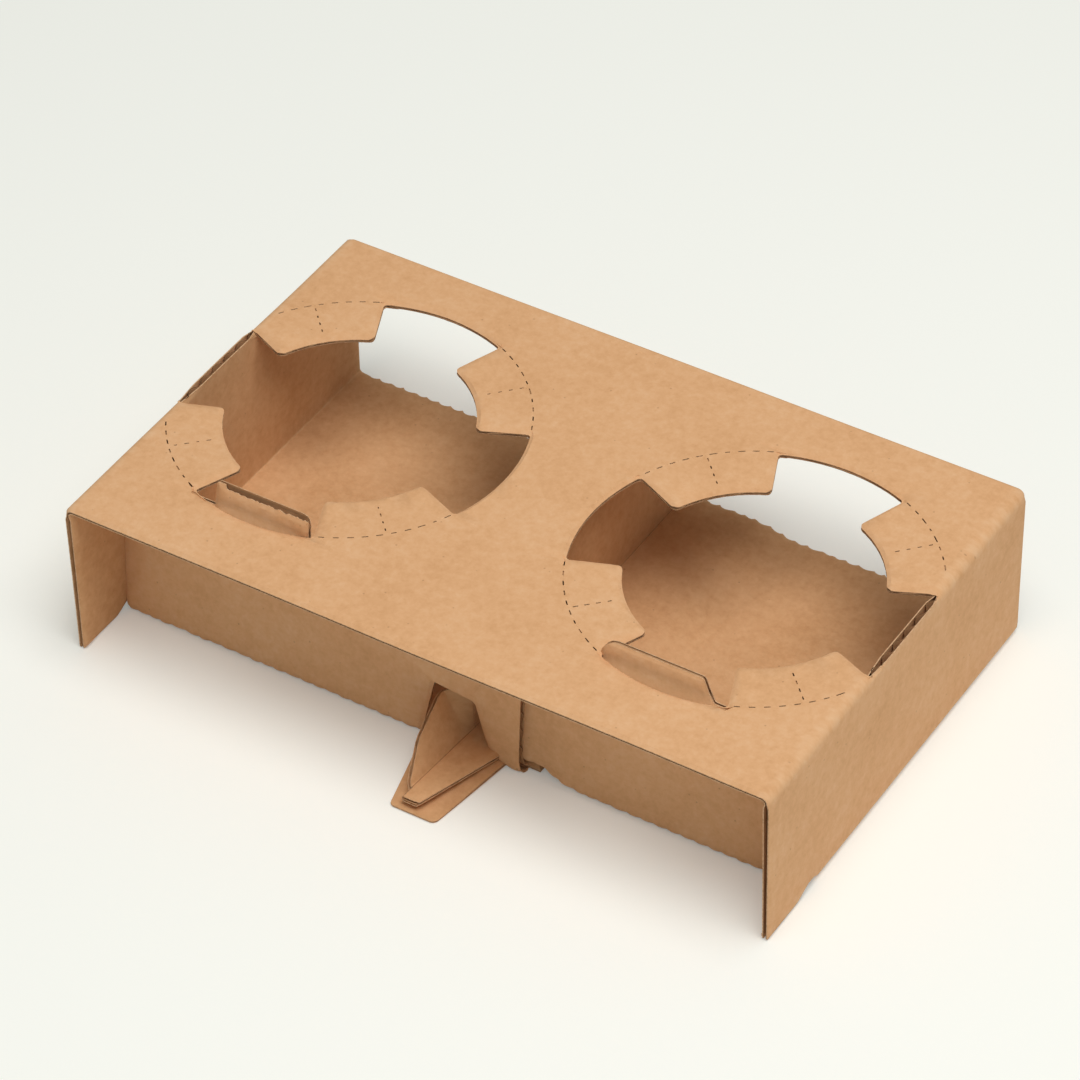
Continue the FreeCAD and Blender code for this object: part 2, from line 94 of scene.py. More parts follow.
def smooth(share: float) -> float:
    """Ease a share from 0 to 1, flat at both ends."""
    share = min(1.0, max(0.0, share))
    return share * share * (3 - 2 * share)


def mix(low: float, high: float, share: float) -> float:
    """Blend two numbers."""
    return low + (high - low) * share


@dataclass(frozen=True)
class Board:
    """B-flute single-wall board, in millimetres."""

    caliper: float = 2.3
    liner: float = 0.3
    medium: float = 0.2
    flute_pitch: float = 5.7
    samples_per_flute: int = 6
    fold_in: float = 0.5

    def squeezed(self, layer: Layer, out: float, share: float) -> float:
        """Move a point of a paper to where it lies in pinched board.

        Args:
            layer: Paper that the point is in.
            out: Distance from the middle of the board, towards its outer face.
            share: Share of the thickness that is left there.

        Returns:
            The new distance from the middle.
        """
        lost = self.half * (1 - share)
        if layer is Layer.FLUTING:
            return out * (1 - lost / (self.half - self.liner))
        return out - lost if layer is Layer.OUTER_LINER else out + lost

    @property
    def half(self) -> float:
        """Half of the board's thickness."""
        return self.caliper / 2

    @property
    def fold_radius(self) -> float:
        """Radius of a fold at the middle of the board."""
        return self.fold_in + self.half

    @property
    def flute_swing(self) -> float:
        """How far the medium swings from the middle of the board."""
        return self.half - self.liner - self.medium / 2


@dataclass(frozen=True)
class BoxSizes:
    """The folded box, measured on the frame where it can be, in millimetres."""

    end: float
    back: float
    tab_top: float
    height: float = 50.0
    foot_left: float = -48.6
    layer_gap: float = 0.2
    top_gap: float = 0.3
    wall_lean: float = 5.1
    lap_x: float = 25.8
    ramp_end: float = 27.0
    ramp_length: float = 11.0
    ramp_bend: float = 4.0
    divider_x: float = 3.2
    crease_in: float = 0.2
    divider_front: float = -41.0
    divider_back: float = 66.0

    @classmethod
    def from_frame(cls) -> BoxSizes:
        """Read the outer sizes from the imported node.

        Returns:
            The sizes, with the rest at their own values.
        """
        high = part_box(NODE)[1] / MM
        return cls(end=high.x, back=high.y, tab_top=high.z)

    @property
    def front(self) -> float:
        """Front edge of the top and of the wings."""
        return -self.back


@dataclass(frozen=True)
class Ease:
    """Lengths over which one shape of the folded sheet turns into the next, in millimetres."""

    # The end panel stands up straight at a cup hole, and its foot is free before the wall.
    chord: float = 1.2
    foot_free: float = 2.6
    foot: float = 2.4
    # The right wall climbs onto the lap at its foot only, and its ends spread to the panel.
    climb: float = 24.0
    spread: float = 0.8
    spread_reach: float = 9.0
    spread_run: float = 8.0
    spread_rise: float = 5.0
    # The right wall bows forward where it is clear of the left one.
    bow: float = 1.3
    bow_start: float = 24.0
    bow_run: float = 10.0
    bow_end: float = 7.0
    bow_rise: float = 22.0
    # The upper tongue turns from flat to upright.
    upright: float = 2.0


@dataclass(frozen=True)
class Warp:
    """Slow waviness of the panels, in millimetres, and the row of noise that it takes."""

    length_u: float = 55.0
    length_v: float = 42.0
    row: float = 0.3
    height: float = 0.22
    fade: float = 12.0


@dataclass(frozen=True)
class Crinkle:
    """Bumps of the cut crease at a front wall's foot, in millimetres and shares."""

    place: float = 0.8
    width: float = 1.6
    pitch: float = 4.1
    height: float = 0.35
    stray: float = 0.35
    stray_run: float = 9.0
    stray_row: float = 7.0
    uneven: float = 0.3
    uneven_run: float = 6.0
    uneven_row: float = 3.0


@dataclass(frozen=True)
class WavyCut:
    """The wave-edged cut at the back of a bottom panel, in millimetres and shares."""

    pitch: float = 4.0
    depth: float = 0.9
    steps: int = 5
    blunt: float = 0.7
    stray: float = 0.4
    uneven: float = 0.6
    uneven_run: float = 7.0
    left_row: float = 23.0
    right_row: float = 11.0


@dataclass(frozen=True)
class Tear:
    """The outer papers torn back along a lock tab, in millimetres and shares."""

    step: float = 0.6
    height: float = 0.6
    coarse_run: float = 1.7
    coarse_row: float = 5.0
    fine: float = 0.6
    fine_run: float = 0.6
    fine_row: float = 9.0
    medium: float = 1.7
    end: float = 3.0
    end_rise: float = 2.6


@dataclass(frozen=True)
class Trim:
    """Set-backs and corner radii of the blank's outline, in millimetres."""

    lap_back: float = 0.6
    lap_front: float = 0.3
    floor_back: float = 0.5
    floor_past: float = 2.0
    apron_in: float = 1.2
    apron_z: float = 4.5
    wall_root: float = 1.2
    wall_root_z: float = 7.5
    cutout_past: float = 1.0
    peak_in: float = 1.0
    fold_past: float = 0.25
    notch: float = 0.6
    wing_foot: float = 0.4
    wing_step: float = 2.2
    wing_drop: float = 5.2
    nick: float = 0.4
    small: float = 0.5
    soft: float = 0.8
    wide: float = 1.0


@dataclass(frozen=True)
class Cuts:
    """Where the flat sheet is sliced so that it can bend, in millimetres and counts."""

    front: float = 105.0
    back: float = 70.0
    liner_step: float = 8.0
    panel_step: float = 9.0
    panel_left: int = -31
    panel_right: int = 36
    bend_steps: int = 6
    short_bend: float = 2.0
    short_steps: int = 3
    foot_step: float = 0.55
    foot_steps: int = 8
    foot_depth: float = 4.4
    crinkle_step: float = 0.8
    hidden_step: float = 2.4
    past_middle: float = 26.0
    crease_half: float = 0.2
    foot_margin: float = 1.0
    hair: float = 0.01


@dataclass(frozen=True)
class Pose:
    """A place and a heading on a strip's centre line, in millimetres and radians."""

    x: float
    y: float
    heading: float

    def moved(self, run: float) -> Pose:
        """Go straight on."""
        x, y = self.x + run * math.cos(self.heading), self.y + run * math.sin(self.heading)
        return Pose(x, y, self.heading)

    def turned(self, radius: float, run: float, left: int) -> Pose:
        """Go along an arc.

        Args:
            radius: Radius at the centre line.
            run: Length along the arc.
            left: 1 for a left-hand bend and -1 for a right-hand one.

        Returns:
            The pose at the end of the arc.
        """
        angle = left * run / radius
        spot_x = self.x - left * radius * math.sin(self.heading)
        spot_y = self.y + left * radius * math.cos(self.heading)
        heading = self.heading + angle
        x, y = spot_x + left * radius * math.sin(heading), spot_y - left * radius * math.cos(heading)
        return Pose(x, y, heading)

    def offset(self, out: float) -> Point:
        """Point at a distance to the left of the line, which is the outer face's side."""
        return self.x - out * math.sin(self.heading), self.y + out * math.cos(self.heading)


@dataclass(frozen=True)
class Piece:
    """One straight or bent stretch of a strip."""

    start: Pose
    run: float
    radius: float = 0.0
    left: int = -1

    def at(self, run: float) -> Pose:
        """Pose at a length from the stretch's start."""
        return self.start.turned(self.radius, run, self.left) if self.radius else self.start.moved(run)


class Strip:
    """Centre line of a folded strip, drawn by going straight and by turning."""

    def __init__(self, x: float, y: float, heading: float) -> None:
        """Start at a point, with a heading in degrees."""
        self.pieces: list[Piece] = []
        self.length = 0.0
        self.pose = Pose(x, y, math.radians(heading))

    def _add(self, piece: Piece) -> Strip:
        """Add a stretch and go to its end."""
        self.pieces.append(piece)
        self.length += piece.run
        self.pose = piece.at(piece.run)
        return self

    def straight(self, run: float) -> Strip:
        """Add a straight stretch."""
        return self._add(Piece(self.pose, run))

    def turn(self, degrees: float, radius: float) -> Strip:
        """Add a bend. A positive angle turns left."""
        run = math.radians(abs(degrees)) * radius
        return self._add(Piece(self.pose, run, radius, 1 if degrees > 0 else -1))

    def pose_at(self, run: float, lean: float = 0.0) -> Pose:
        """Pose at a length along the strip.

        Args:
            run: Length from the strip's start. Past its end the last stretch goes on.
            lean: Extra right-hand turn of the last bend, in radians.

        Returns:
            The pose on the centre line.
        """
        for piece in self.pieces[:-2]:
            if run <= piece.run:
                return piece.at(run)
            run -= piece.run
        bend, last = self.pieces[-2:]
        arc = bend.run + lean * bend.radius
        if run <= arc:
            return bend.at(run)
        return Piece(bend.at(arc), last.run).at(run - arc)


@dataclass(frozen=True)
class Tongues:
    """The cut-out in the middle of the front and the tongues in it, in millimetres."""

    cutout: tuple[Corner, ...] = ((-5.6, 18.8, 0.5), (6.9, 17.6, 1.3), (11.3, 4.4, 3.0))
    cutout_left: float = -9.4
    cutout_right: float = 17.4
    apron_x: float = 21.0
    right_wall_x: float = 9.0
    lower_reach: float = 26.4
    lower_tip: Point = (-1.6, 12.2)
    lower_root: Point = (-8.8, 16.9)
    lower_tip_thick: float = 1.0
    upper_setback: float = 0.9
    upper_tip: float = 5.1
    upper_root: float = 12.6
    skew: float = 2.2
    upright_thick: float = 1.5
    upright_setback: float = 5.6
    upright_shoulder: Point = (8.6, 8.2)
    upright_peak: Point = (20.8, 14.6)
    upright_lean: float = 25.0
    lean_run: float = 4.0
    crease_past: float = 0.8
    score_past: float = 0.8
    crease_nick: float = 0.8
    shoulder_in: float = 0.6
    lower_rounds: Point = (1.2, 1.6)
    upper_rounds: Point = (1.2, 1.0)
    shoulder_round: float = 2.0


@dataclass(frozen=True)
class CupHole:
    """A cup hole and its four flaps, in millimetres and degrees."""

    from_end: float = 44.4
    y: float = 1.7
    hinge_radius: float = 49.0
    flap_radius: float = 34.0
    gap_half_angle: float = 22.5
    flap_corner: float = 1.9
    gap_corner: float = 1.2
    chord_drop: float = 0.9
    dash: float = 1.9
    dash_pitch: float = 3.8
    spoke_dash: float = 1.2
    spoke_pitch: float = 3.0
    dash_width: float = 0.36
    dash_blunt: float = 0.8
    dash_uneven: float = 0.6
    spoke_ends: Point = (2.0, 1.9)
    arc_noise: tuple[float, ...] = (3.1, 0.9, 5.0, 1.0)
    spoke_noise: tuple[float, ...] = (2.3, 0.7, 3.0, 2.0)
    arc_step: float = 3.0
    flap_tilt: tuple[float, ...] = (0.8, 2.2, 1.2, 0.6)


@dataclass(frozen=True)
class LockTab:
    """A wall's lock tab, seen from the front, in millimetres."""

    inboard: float
    outboard: float
    top_inboard: float
    top_outboard: float
    inboard_round: float
    outboard_round: float
    short: float
    torn: float
    crease_z: float = 50.6
    crease_turn: float = 7.0
    crease_radius: float = 1.5
    beyond: float = 1.0


@dataclass(frozen=True)
class DieCut:
    """How the steel rule of the die pinches the board at a cut, in millimetres and shares."""

    reach: float = 1.2
    rings: tuple[float, ...] = (0.35, 0.65)
    spacing: float = 0.5
    top: float = 0.4
    wing_head: float = 0.78
    wing_foot: float = 0.62
    tab: float = 0.6
    wall: float = 0.5
    tongue: float = 0.45
    upper_tip: float = 0.85
    upright: float = 0.8
    lap_corner: float = 0.35
    near: float = 0.1
    top_past: float = 3.0
    apron_x: float = 18.0
    tab_z: float = 50.2


class FoldedSheet:
    """Folds points of the flat blank round the box."""

    def __init__(self, box: BoxSizes, board: Board, hole: CupHole, tongues: Tongues) -> None:
        """Lay out the strips of the wrap and of the two front walls."""
        self.box = box
        self.board = board
        self.hole = hole
        self.tongues = tongues
        self.ease = Ease()
        self.waves = Warp()
        self.bumps = Crinkle()
        radius = board.fold_radius
        self.flat = box.end - board.half - radius
        self.hole_x = box.end - hole.from_end
        self.strips = {side: self._wrap() for side in Side}
        self.end_start = self.flat + radius * math.pi / 2
        self.end_stop = self.end_start + box.height - board.caliper - 2 * radius
        self.floor_start = self.strips[Side.LEFT].length
        self.chord = self.hole_chord()
        self.strips[Side.LEFT].straight(self.flat + box.lap_x).straight(0.0)
        self._climb_and_stand(self.strips[Side.RIGHT])
        self.walls = {}
        self.wall_start = {}
        for side, foot in ((Side.LEFT, box.foot_left), (Side.RIGHT, self.right_foot)):
            self.walls[side], self.wall_start[side] = self._wall(foot)

    @property
    def right_foot(self) -> float:
        """Outer foot of the right wall, one layer behind the left one."""
        return self.box.foot_left + self.board.caliper + self.box.layer_gap

    @property
    def upper_centre(self) -> float:
        """Centre height of the right bottom where it lies on the left one."""
        return self.board.caliper + self.box.layer_gap + self.board.half

    def _wrap(self) -> Strip:
        """Strip of one half of the wrap: the top, the end panel and the fold to the bottom."""
        radius, half = self.board.fold_radius, self.board.half
        strip = Strip(0.0, self.box.height - half, 0.0).straight(self.flat).turn(-90, radius)
        return strip.straight(self.box.height - self.board.caliper - 2 * radius).turn(-90, radius)

    def _climb_and_stand(self, strip: Strip) -> None:
        """Lead the right bottom onto the left one, then up as the divider."""
        rise = self.upper_centre - self.board.half
        slope = math.atan2(rise, self.box.ramp_length)
        radius = self.box.ramp_bend + self.board.half
        eased = radius * math.tan(slope / 2)
        degrees = math.degrees(slope)
        strip.straight(self.flat - self.box.ramp_end - self.box.ramp_length - eased).turn(-degrees, radius)
        strip.straight(math.hypot(rise, self.box.ramp_length) - 2 * eased).turn(degrees, radius)
        crease_radius = self.box.crease_in + self.board.half
        strip.straight(self.box.ramp_end - eased - self.box.divider_x - crease_radius)
        self.crease_start = strip.length
        strip.turn(-90, crease_radius)
        self.divider_start = strip.length
        top = self.box.height - self.board.caliper - self.box.top_gap
        strip.straight(top - strip.pose.y)

    def _wall(self, foot: float) -> tuple[Strip, float]:
        """Strip of a front wall, and where along v its fold starts."""
        lean, half, radius = self.box.wall_lean, self.board.half, self.board.fold_radius
        turn = 90 + lean
        corner = foot + half / math.cos(math.radians(lean)) + half * math.tan(math.radians(lean))
        start = corner + radius * math.tan(math.radians(turn) / 2)
        strip = Strip(start, half, 180.0).turn(-turn, radius)
        crease = LockTab.crease_z
        strip.straight((crease - strip.pose.y) / math.sin(strip.pose.heading))
        strip.turn(-LockTab.crease_turn, LockTab.crease_radius).straight(LockTab.beyond)
        return strip, start

    @property
    def chord_cut(self) -> float:
        """Place along the wrap of the straight cut where a cup hole meets the end panel."""
        return self.end_start - self.chord_lift()

    def hole_chord(self) -> float:
        """Half of the straight cut where a cup hole meets the end panel's top."""
        return (self.chord_cut - self.hole_x) * math.tan(math.radians(self.hole.gap_half_angle))

    def chord_lift(self) -> float:
        """How far the end panel stands up straight above its fold, at a cup hole."""
        return self.board.half + self.board.fold_radius - self.hole.chord_drop

    def floor_u(self, side: Side, x: float) -> float:
        """Blank coordinate of a place on a bottom panel, from its x on the box."""
        if side is Side.LEFT:
            return -(self.floor_start + self.flat + x)
        if x > self.box.ramp_end:
            return self.floor_start + self.flat - x
        return self.crease_start + self.box.divider_x + self.board.half + self.box.crease_in - x

    def wall_v(self, side: Side, z: float) -> float:
        """Blank coordinate of a height on a front wall."""
        bend = self.walls[side].pieces[0]
        foot = bend.at(bend.run)
        return self.wall_start[side] - bend.run - (z - foot.y) / math.sin(foot.heading)

    def warp(self, u: float, v: float) -> float:
        """Slow waviness of the board, and the tilt of the flaps, outwards of the sheet."""
        waves = self.waves
        slow = noise.noise(Vector((u / waves.length_u, v / waves.length_v, waves.row))) * waves.height
        side = 1 if u > 0 else -1
        across, along = abs(u) - self.hole_x, v - self.hole.y
        radius = math.hypot(across, along)
        if radius < self.hole.hinge_radius and abs(u) < self.flat:
            quarter = int(math.atan2(along, across * side) % math.tau // (math.pi / 2))
            tilt = math.radians(self.hole.flap_tilt[quarter])
            slow -= math.tan(tilt) * (self.hole.hinge_radius - radius)
        return slow * smooth((self.floor_start - abs(u)) / waves.fade)

    def crinkle(self, u: float, run: float) -> float:
        """Outward bumps of a front wall's cut crease.

        Args:
            u: Place along the crease.
            run: Length from the start of the fold.

        Returns:
            How far the board bulges there.
        """
        bumps = self.bumps
        window = math.exp(-((run - self.board.fold_radius * bumps.place) / bumps.width) ** 2)
        stray = noise.noise(Vector((u / bumps.stray_run, bumps.stray_row, 0.0)))
        phase = u / bumps.pitch + bumps.stray * stray
        uneven = noise.noise(Vector((u / bumps.uneven_run, bumps.uneven_row, 0.0)))
        return window * (bumps.height + bumps.uneven * uneven) * abs(math.sin(math.pi * phase))

    def _standing(self, run: float, v: float, out: float) -> tuple[float, Point]:
        """Share and place of the end panel where it isn't bent into its neighbour."""
        half = self.board.half
        across = self.box.end - half + out
        if self.flat < run < self.end_start:
            share = 1 - smooth((abs(v - self.hole.y) - self.chord) / self.ease.chord)
            return share, (across, self.strips[Side.LEFT].pose_at(self.end_start).y + self.end_start - run)
        if self.end_stop < run <= self.floor_start:
            share = 1 - smooth((v - self.box.foot_left - self.ease.foot_free) / self.ease.foot)
            return share, (across, self.strips[Side.LEFT].pose_at(self.end_stop).y + self.end_stop - run)
        return 0.0, (0.0, 0.0)

    def _forward(self, side: Side, run: float, v: float) -> float:
        """How far the right wall bows forward where it is clear of the left one."""
        if side is Side.LEFT or run < self.floor_start:
            return 0.0
        ease = self.ease
        x = self.floor_start + self.flat - run
        clear = smooth((x - ease.bow_start) / ease.bow_run) * smooth((run - self.floor_start) / ease.bow_end)
        return ease.bow * clear * smooth(1 + (self.wall_start[side] - v) / ease.bow_rise)

    def fold(self, u: float, v: float, out: float) -> Vector:
        """Place a point of the blank on the folded box.

        Args:
            u: Along the wrap.
            v: Front to back.
            out: Towards the outer face, from the middle of the board.

        Returns:
            The point, in millimetres.
        """
        side = Side.LEFT if u < 0 else Side.RIGHT
        run = abs(u)
        strip = self.strips[side]
        past = self.wall_start[side] - v
        forward = self._forward(side, run, v)
        if run > self.floor_start and past > 0:
            centre = strip.pose_at(run)
            y, z = self.walls[side].pose_at(past).offset(out + self.crinkle(u, past))
            ease = self.ease
            climbed = (centre.y - self.board.half) * (1 - smooth(z / ease.climb))
            near = smooth((self.floor_start + ease.spread_reach - run) / ease.spread_run)
            widened = ease.spread * near * smooth(past / ease.spread_rise)
            return Vector((side.value * (centre.x + widened), y - forward, max(0.0, z + climbed)))
        out += self.warp(u, v)
        x, z = strip.pose_at(run).offset(out)
        share, (stand_x, stand_z) = self._standing(run, v, out)
        return Vector((side.value * mix(x, stand_x, share), v - forward, mix(z, stand_z, share)))

    def fold_lower_tongue(self, u: float, v: float, out: float) -> Vector:
        """Place a point of the lower tongue, which lies flat and is crushed at its tip."""
        reach = (self.wall_start[Side.LEFT] - v) / self.tongues.lower_reach
        thin = mix(1.0, self.tongues.lower_tip_thick / self.board.caliper, smooth(reach))
        half = self.board.half
        x = self.strips[Side.LEFT].pose_at(-u).x
        return Vector((-x, v, thin * (half - out)))

    def fold_upper_tongue(self, u: float, v: float, out: float) -> Vector:
        """Place a point of the upper tongue or of its upright half, which leans over."""
        strip = self.strips[Side.RIGHT]
        root = self.wall_start[Side.RIGHT]
        span = root - self.tip_v
        reach = (root - v) / span
        lean = math.radians(self.tongues.upright_lean) * smooth((root - v) / self.tongues.lean_run)
        stands = smooth((u - self.crease_start) / self.ease.upright)
        crushed = self.tongues.upright_thick / self.board.caliper
        thin = mix(1.0, crushed, stands * smooth((root - v) / self.tongues.lean_run))
        x, z = strip.pose_at(u, -lean).offset(out * thin)
        return Vector((x - self.tongues.skew * reach, v, z))

    @property
    def score(self) -> float:
        """Place along the wrap of the hard crease that parts the upper tongue."""
        return self.crease_start + self.tongues.score_past

    @property
    def tip_v(self) -> float:
        """Front of the upper tongue."""
        return self.box.foot_left - self.tongues.lower_reach + self.tongues.upper_setback


class Outline:
    """A closed outline on the flat blank, with rounded corners and wavy cuts."""

    def __init__(self) -> None:
        """Start with no corners."""
        self.corners: list[Corner] = []

    def to(self, u: float, v: float, radius: float = 0.0) -> Outline:
        """Go straight to a corner, which may be rounded."""
        self.corners.append((u, v, radius))
        return self

    def arc(self, centre: Point, radius: float, low: float, high: float, step: float) -> Outline:
        """Follow an arc between two angles in degrees, without its two end points."""
        count = max(2, round(math.radians(abs(high - low)) * radius / step))
        for index in range(1, count):
            angle = math.radians(mix(low, high, index / count))
            self.to(centre[0] + radius * math.cos(angle), centre[1] + radius * math.sin(angle))
        return self

    def wavy_to(self, u: float, v: float, cut: WavyCut, row: float) -> Outline:
        """Follow a wavy cut to a corner. The waves stand out to the left of the way.

        Args:
            u: Corner's place along the wrap.
            v: Corner's place from front to back.
            cut: Sizes of the waves.
            row: Row of the noise that makes the waves uneven.

        Returns:
            The outline itself.
        """
        start = Vector(self.corners[-1][:2])
        way = Vector((u, v)) - start
        side = Vector((-way.y, way.x)).normalized()
        count = round(way.length / cut.pitch * cut.steps)
        for index in range(1, count):
            run = way.length * index / count
            uneven = noise.noise(Vector((run / cut.uneven_run, row, 0.0)))
            wave = abs(math.sin(math.pi * (run / cut.pitch + cut.stray * uneven))) ** cut.blunt - 0.5
            spot = start + way * (index / count) + side * cut.depth * wave * (1 + cut.uneven * uneven)
            self.to(spot.x, spot.y)
        return self.to(u, v)

    def walk(self, step: float) -> Iterator[Vector]:
        """Go round the outline.

        Args:
            step: Longest distance between two places.

        Yields:
            Places on the outline, with z = 0.
        """
        for index, (u, v, _) in enumerate(self.corners):
            start, stop = Vector((*self.corners[index - 1][:2], 0.0)), Vector((u, v, 0.0))
            count = max(1, math.ceil((stop - start).length / step))
            for part in range(count):
                yield start.lerp(stop, part / count)

    def draw(self, bm: bmesh.types.BMesh) -> list[bmesh.types.BMVert]:
        """Draw the outline as a closed ring of edges, with its corners rounded.

        Args:
            bm: Mesh that gets the ring.

        Returns:
            The ring's vertices in order.
        """
        round_steps = 5
        scratch = bmesh.new()
        verts = [scratch.verts.new((u, v, 0.0)) for u, v, _ in self.corners]
        scratch.faces.new(verts)
        reaches = sorted({reach for _, _, reach in self.corners if reach})
        for reach in reaches:
            chosen = [vert for vert, corner in zip(verts, self.corners) if corner[2] == reach]
            bmesh.ops.bevel(scratch, geom=chosen, offset=reach, offset_type="OFFSET", affect="VERTICES",
                            segments=round_steps, profile=0.5, material=-1)
        face = max(scratch.faces, key=lambda f: len(f.verts))
        ring = [bm.verts.new(vert.co) for vert in face.verts]
        for index, vert in enumerate(ring):
            bm.edges.new((ring[index - 1], vert))
        scratch.free()
        return ring


@dataclass
class Blank:
    """The die-cut blank: its outlines, holes and perforations."""

    sheet: FoldedSheet
    layer: Layer
    die: DieCut = DieCut()
    trim: Trim = Trim()
    tear: Tear = Tear()
    waves: WavyCut = WavyCut()
    tabs: dict[Side, LockTab] = field(default_factory=lambda: {
        Side.LEFT: LockTab(44.9, 74.4, 45.2, 73.9, 2.6, 0.5, 0.7, 1.3),
        Side.RIGHT: LockTab(42.9, 76.3, 43.8, 72.9, 4.2, 0.8, 1.9, 0.0),
    })

    def body(self) -> list[Outline]:
        """Outline and holes of the blank without its tongues.

        Returns:
            The outer outline first, then every hole.
        """
        return [self._edge(), self._cutout()] + [self._cup_hole(side) for side in Side]

    def kept(self, spot: Vector) -> float:
        """Share of the board's thickness that is left at a cut of the body."""
        sheet, die = self.sheet, self.die
        run, v = abs(spot.x), spot.y
        side = Side.LEFT if spot.x < 0 else Side.RIGHT
        if abs(run - sheet.chord_cut) < die.near and abs(v - sheet.hole.y) < sheet.chord - 2 * die.near:
            return 1.0
        if run < sheet.flat + die.top_past:
            return die.top
        if run < sheet.floor_start:
            down = (run - sheet.end_start) / (sheet.end_stop - sheet.end_start)
            return mix(die.wing_head, die.wing_foot, down)
        if side is Side.LEFT and run > -sheet.floor_u(side, die.apron_x):
            return 1.0 if v < sheet.wall_start[side] else die.lap_corner
        if abs(v - sheet.wall_start[side]) < die.near:
            return 1.0
        return die.tab if v < sheet.wall_v(side, die.tab_z) else die.wall

    def kept_lower(self, spot: Vector) -> float:
        """Share of the thickness that is left at a cut of the lower tongue."""
        return self.die.tongue if spot.y < self.sheet.wall_start[Side.LEFT] - self.die.near else 1.0

    def kept_upper(self, spot: Vector) -> float:
        """Share of the thickness that is left at a cut of the upper tongue."""
        if spot.y > self.sheet.wall_start[Side.RIGHT] - self.die.near:
            return 1.0
        if spot.x > self.sheet.crease_start:
            return self.die.upright
        return self.die.upper_tip if spot.y < self.sheet.tip_v + self.die.near else self.die.tongue

    def _edge(self) -> Outline:
        """Outer edge, along the front from the left lap to the divider, then back."""
        sheet, box, trim = self.sheet, self.sheet.box, self.trim
        edge = Outline()
        lap = sheet.floor_u(Side.LEFT, box.lap_x)
        apron = sheet.floor_u(Side.LEFT, sheet.tongues.apron_x)
        lap_front = sheet.wall_start[Side.LEFT] + trim.lap_front
        edge.to(lap, box.back - trim.lap_back).to(lap, lap_front)
        edge.to(apron - trim.apron_in, lap_front, trim.nick)
        edge.to(apron, sheet.wall_v(Side.LEFT, trim.apron_z), trim.wide)
        self._front(edge, Side.LEFT)
        self._front(edge, Side.RIGHT)
        divider_top = sheet.strips[Side.RIGHT].length
        root = sheet.wall_start[Side.RIGHT]
        edge.to(self.upper_root, root).to(sheet.crease_start, root)
        edge.to(self.upright_peak, root).to(self.upright_peak, box.divider_front)
        edge.to(divider_top, box.divider_front).to(divider_top, box.divider_back)
        edge.to(sheet.divider_start, box.divider_back)
        floor_back = box.back - trim.floor_back
        edge.wavy_to(sheet.floor_start + trim.floor_past, floor_back, self.waves, self.waves.right_row)
        edge.to(sheet.end_stop, box.back).to(-sheet.end_stop, box.back)
        edge.to(-sheet.floor_start - trim.floor_past, floor_back)
        edge.wavy_to(lap, box.back - trim.lap_back, self.waves, self.waves.left_row)
        edge.corners.pop()
        return edge

    @property
    def upper_root(self) -> float:
        """Right end of the upper tongue's root along the wrap."""
        sheet = self.sheet
        return sheet.floor_u(Side.RIGHT, sheet.box.divider_x + sheet.board.half + sheet.tongues.upper_root)

    @property
    def upright_peak(self) -> float:
        """Top of the upper tongue's upright half along the wrap."""
        return self.sheet.divider_start + self.sheet.tongues.upright_peak[1] - self.trim.peak_in

    def _front(self, edge: Outline, side: Side) -> None:
        """Front wall, lock tab, wing and half of the top's front edge on one side."""
        sheet, box, trim = self.sheet, self.sheet.box, self.trim
        tab = self.tabs[side]
        top = sheet.wall_v(side, box.height - sheet.board.caliper - box.top_gap)
        shares = {Layer.OUTER_LINER: 1.0, Layer.FLUTING: self.tear.medium, Layer.INNER_LINER: 0.0}
        torn = tab.torn * shares[self.layer]
        rise = sheet.wall_v(side, box.tab_top - tab.short)
        sign = side.value

        def along(x: float) -> float:
            return sheet.floor_u(side, sign * x)

        free = sheet.tongues.apron_x if side is Side.LEFT else sheet.tongues.right_wall_x
        outer = sign * (sheet.floor_start + trim.fold_past)
        notch = sheet.wall_start[side] + trim.notch
        wing_low = sheet.end_stop + sheet.board.half + sheet.board.fold_radius - trim.fold_past
        wing_step = box.foot_left + trim.wing_step
        tab_end = (along(tab.top_outboard), rise, tab.outboard_round)
        crest = [(along(tab.top_inboard), rise, tab.inboard_round), tab_end]
        if torn:
            low = sheet.wall_v(side, box.tab_top - tab.short - torn)
            crest = self._torn_edge(along(tab.top_inboard), along(tab.top_outboard - self.tear.end), low)
            crest += [(along(tab.top_outboard - self.tear.end_rise), rise, 0.0), tab_end]
        steps = [
            (sheet.floor_u(side, free), top, trim.nick),
            (along(tab.inboard), top, trim.small),
            *crest,
            (along(tab.outboard), top, trim.small),
            (outer, top, trim.notch),
            (outer, notch, 0.0),
            (sign * (sheet.end_stop + trim.notch), notch, trim.nick),
            (sign * (sheet.end_stop + trim.wing_foot), wing_step, trim.small),
            (sign * wing_low, wing_step - trim.wing_drop, trim.soft),
            (sign * wing_low, box.front, trim.small),
        ]
        if side is Side.RIGHT:
            # The hidden end of the right wall stops behind the cut-out of the left one.
            cut = sheet.tongues.cutout
            root = sheet.floor_u(side, sheet.tongues.cutout_right + trim.cutout_past)
            steps[:0] = [
                (root, sheet.wall_start[side], 0.0),
                (sheet.floor_u(side, cut[2][0] + trim.wall_root), sheet.wall_v(side, trim.wall_root_z), 0.0),
                (sheet.floor_u(side, free), sheet.wall_v(side, cut[0][1]), 0.0),
            ]
            steps.reverse()
        for u, v, radius in steps:
            edge.to(u, v, radius)

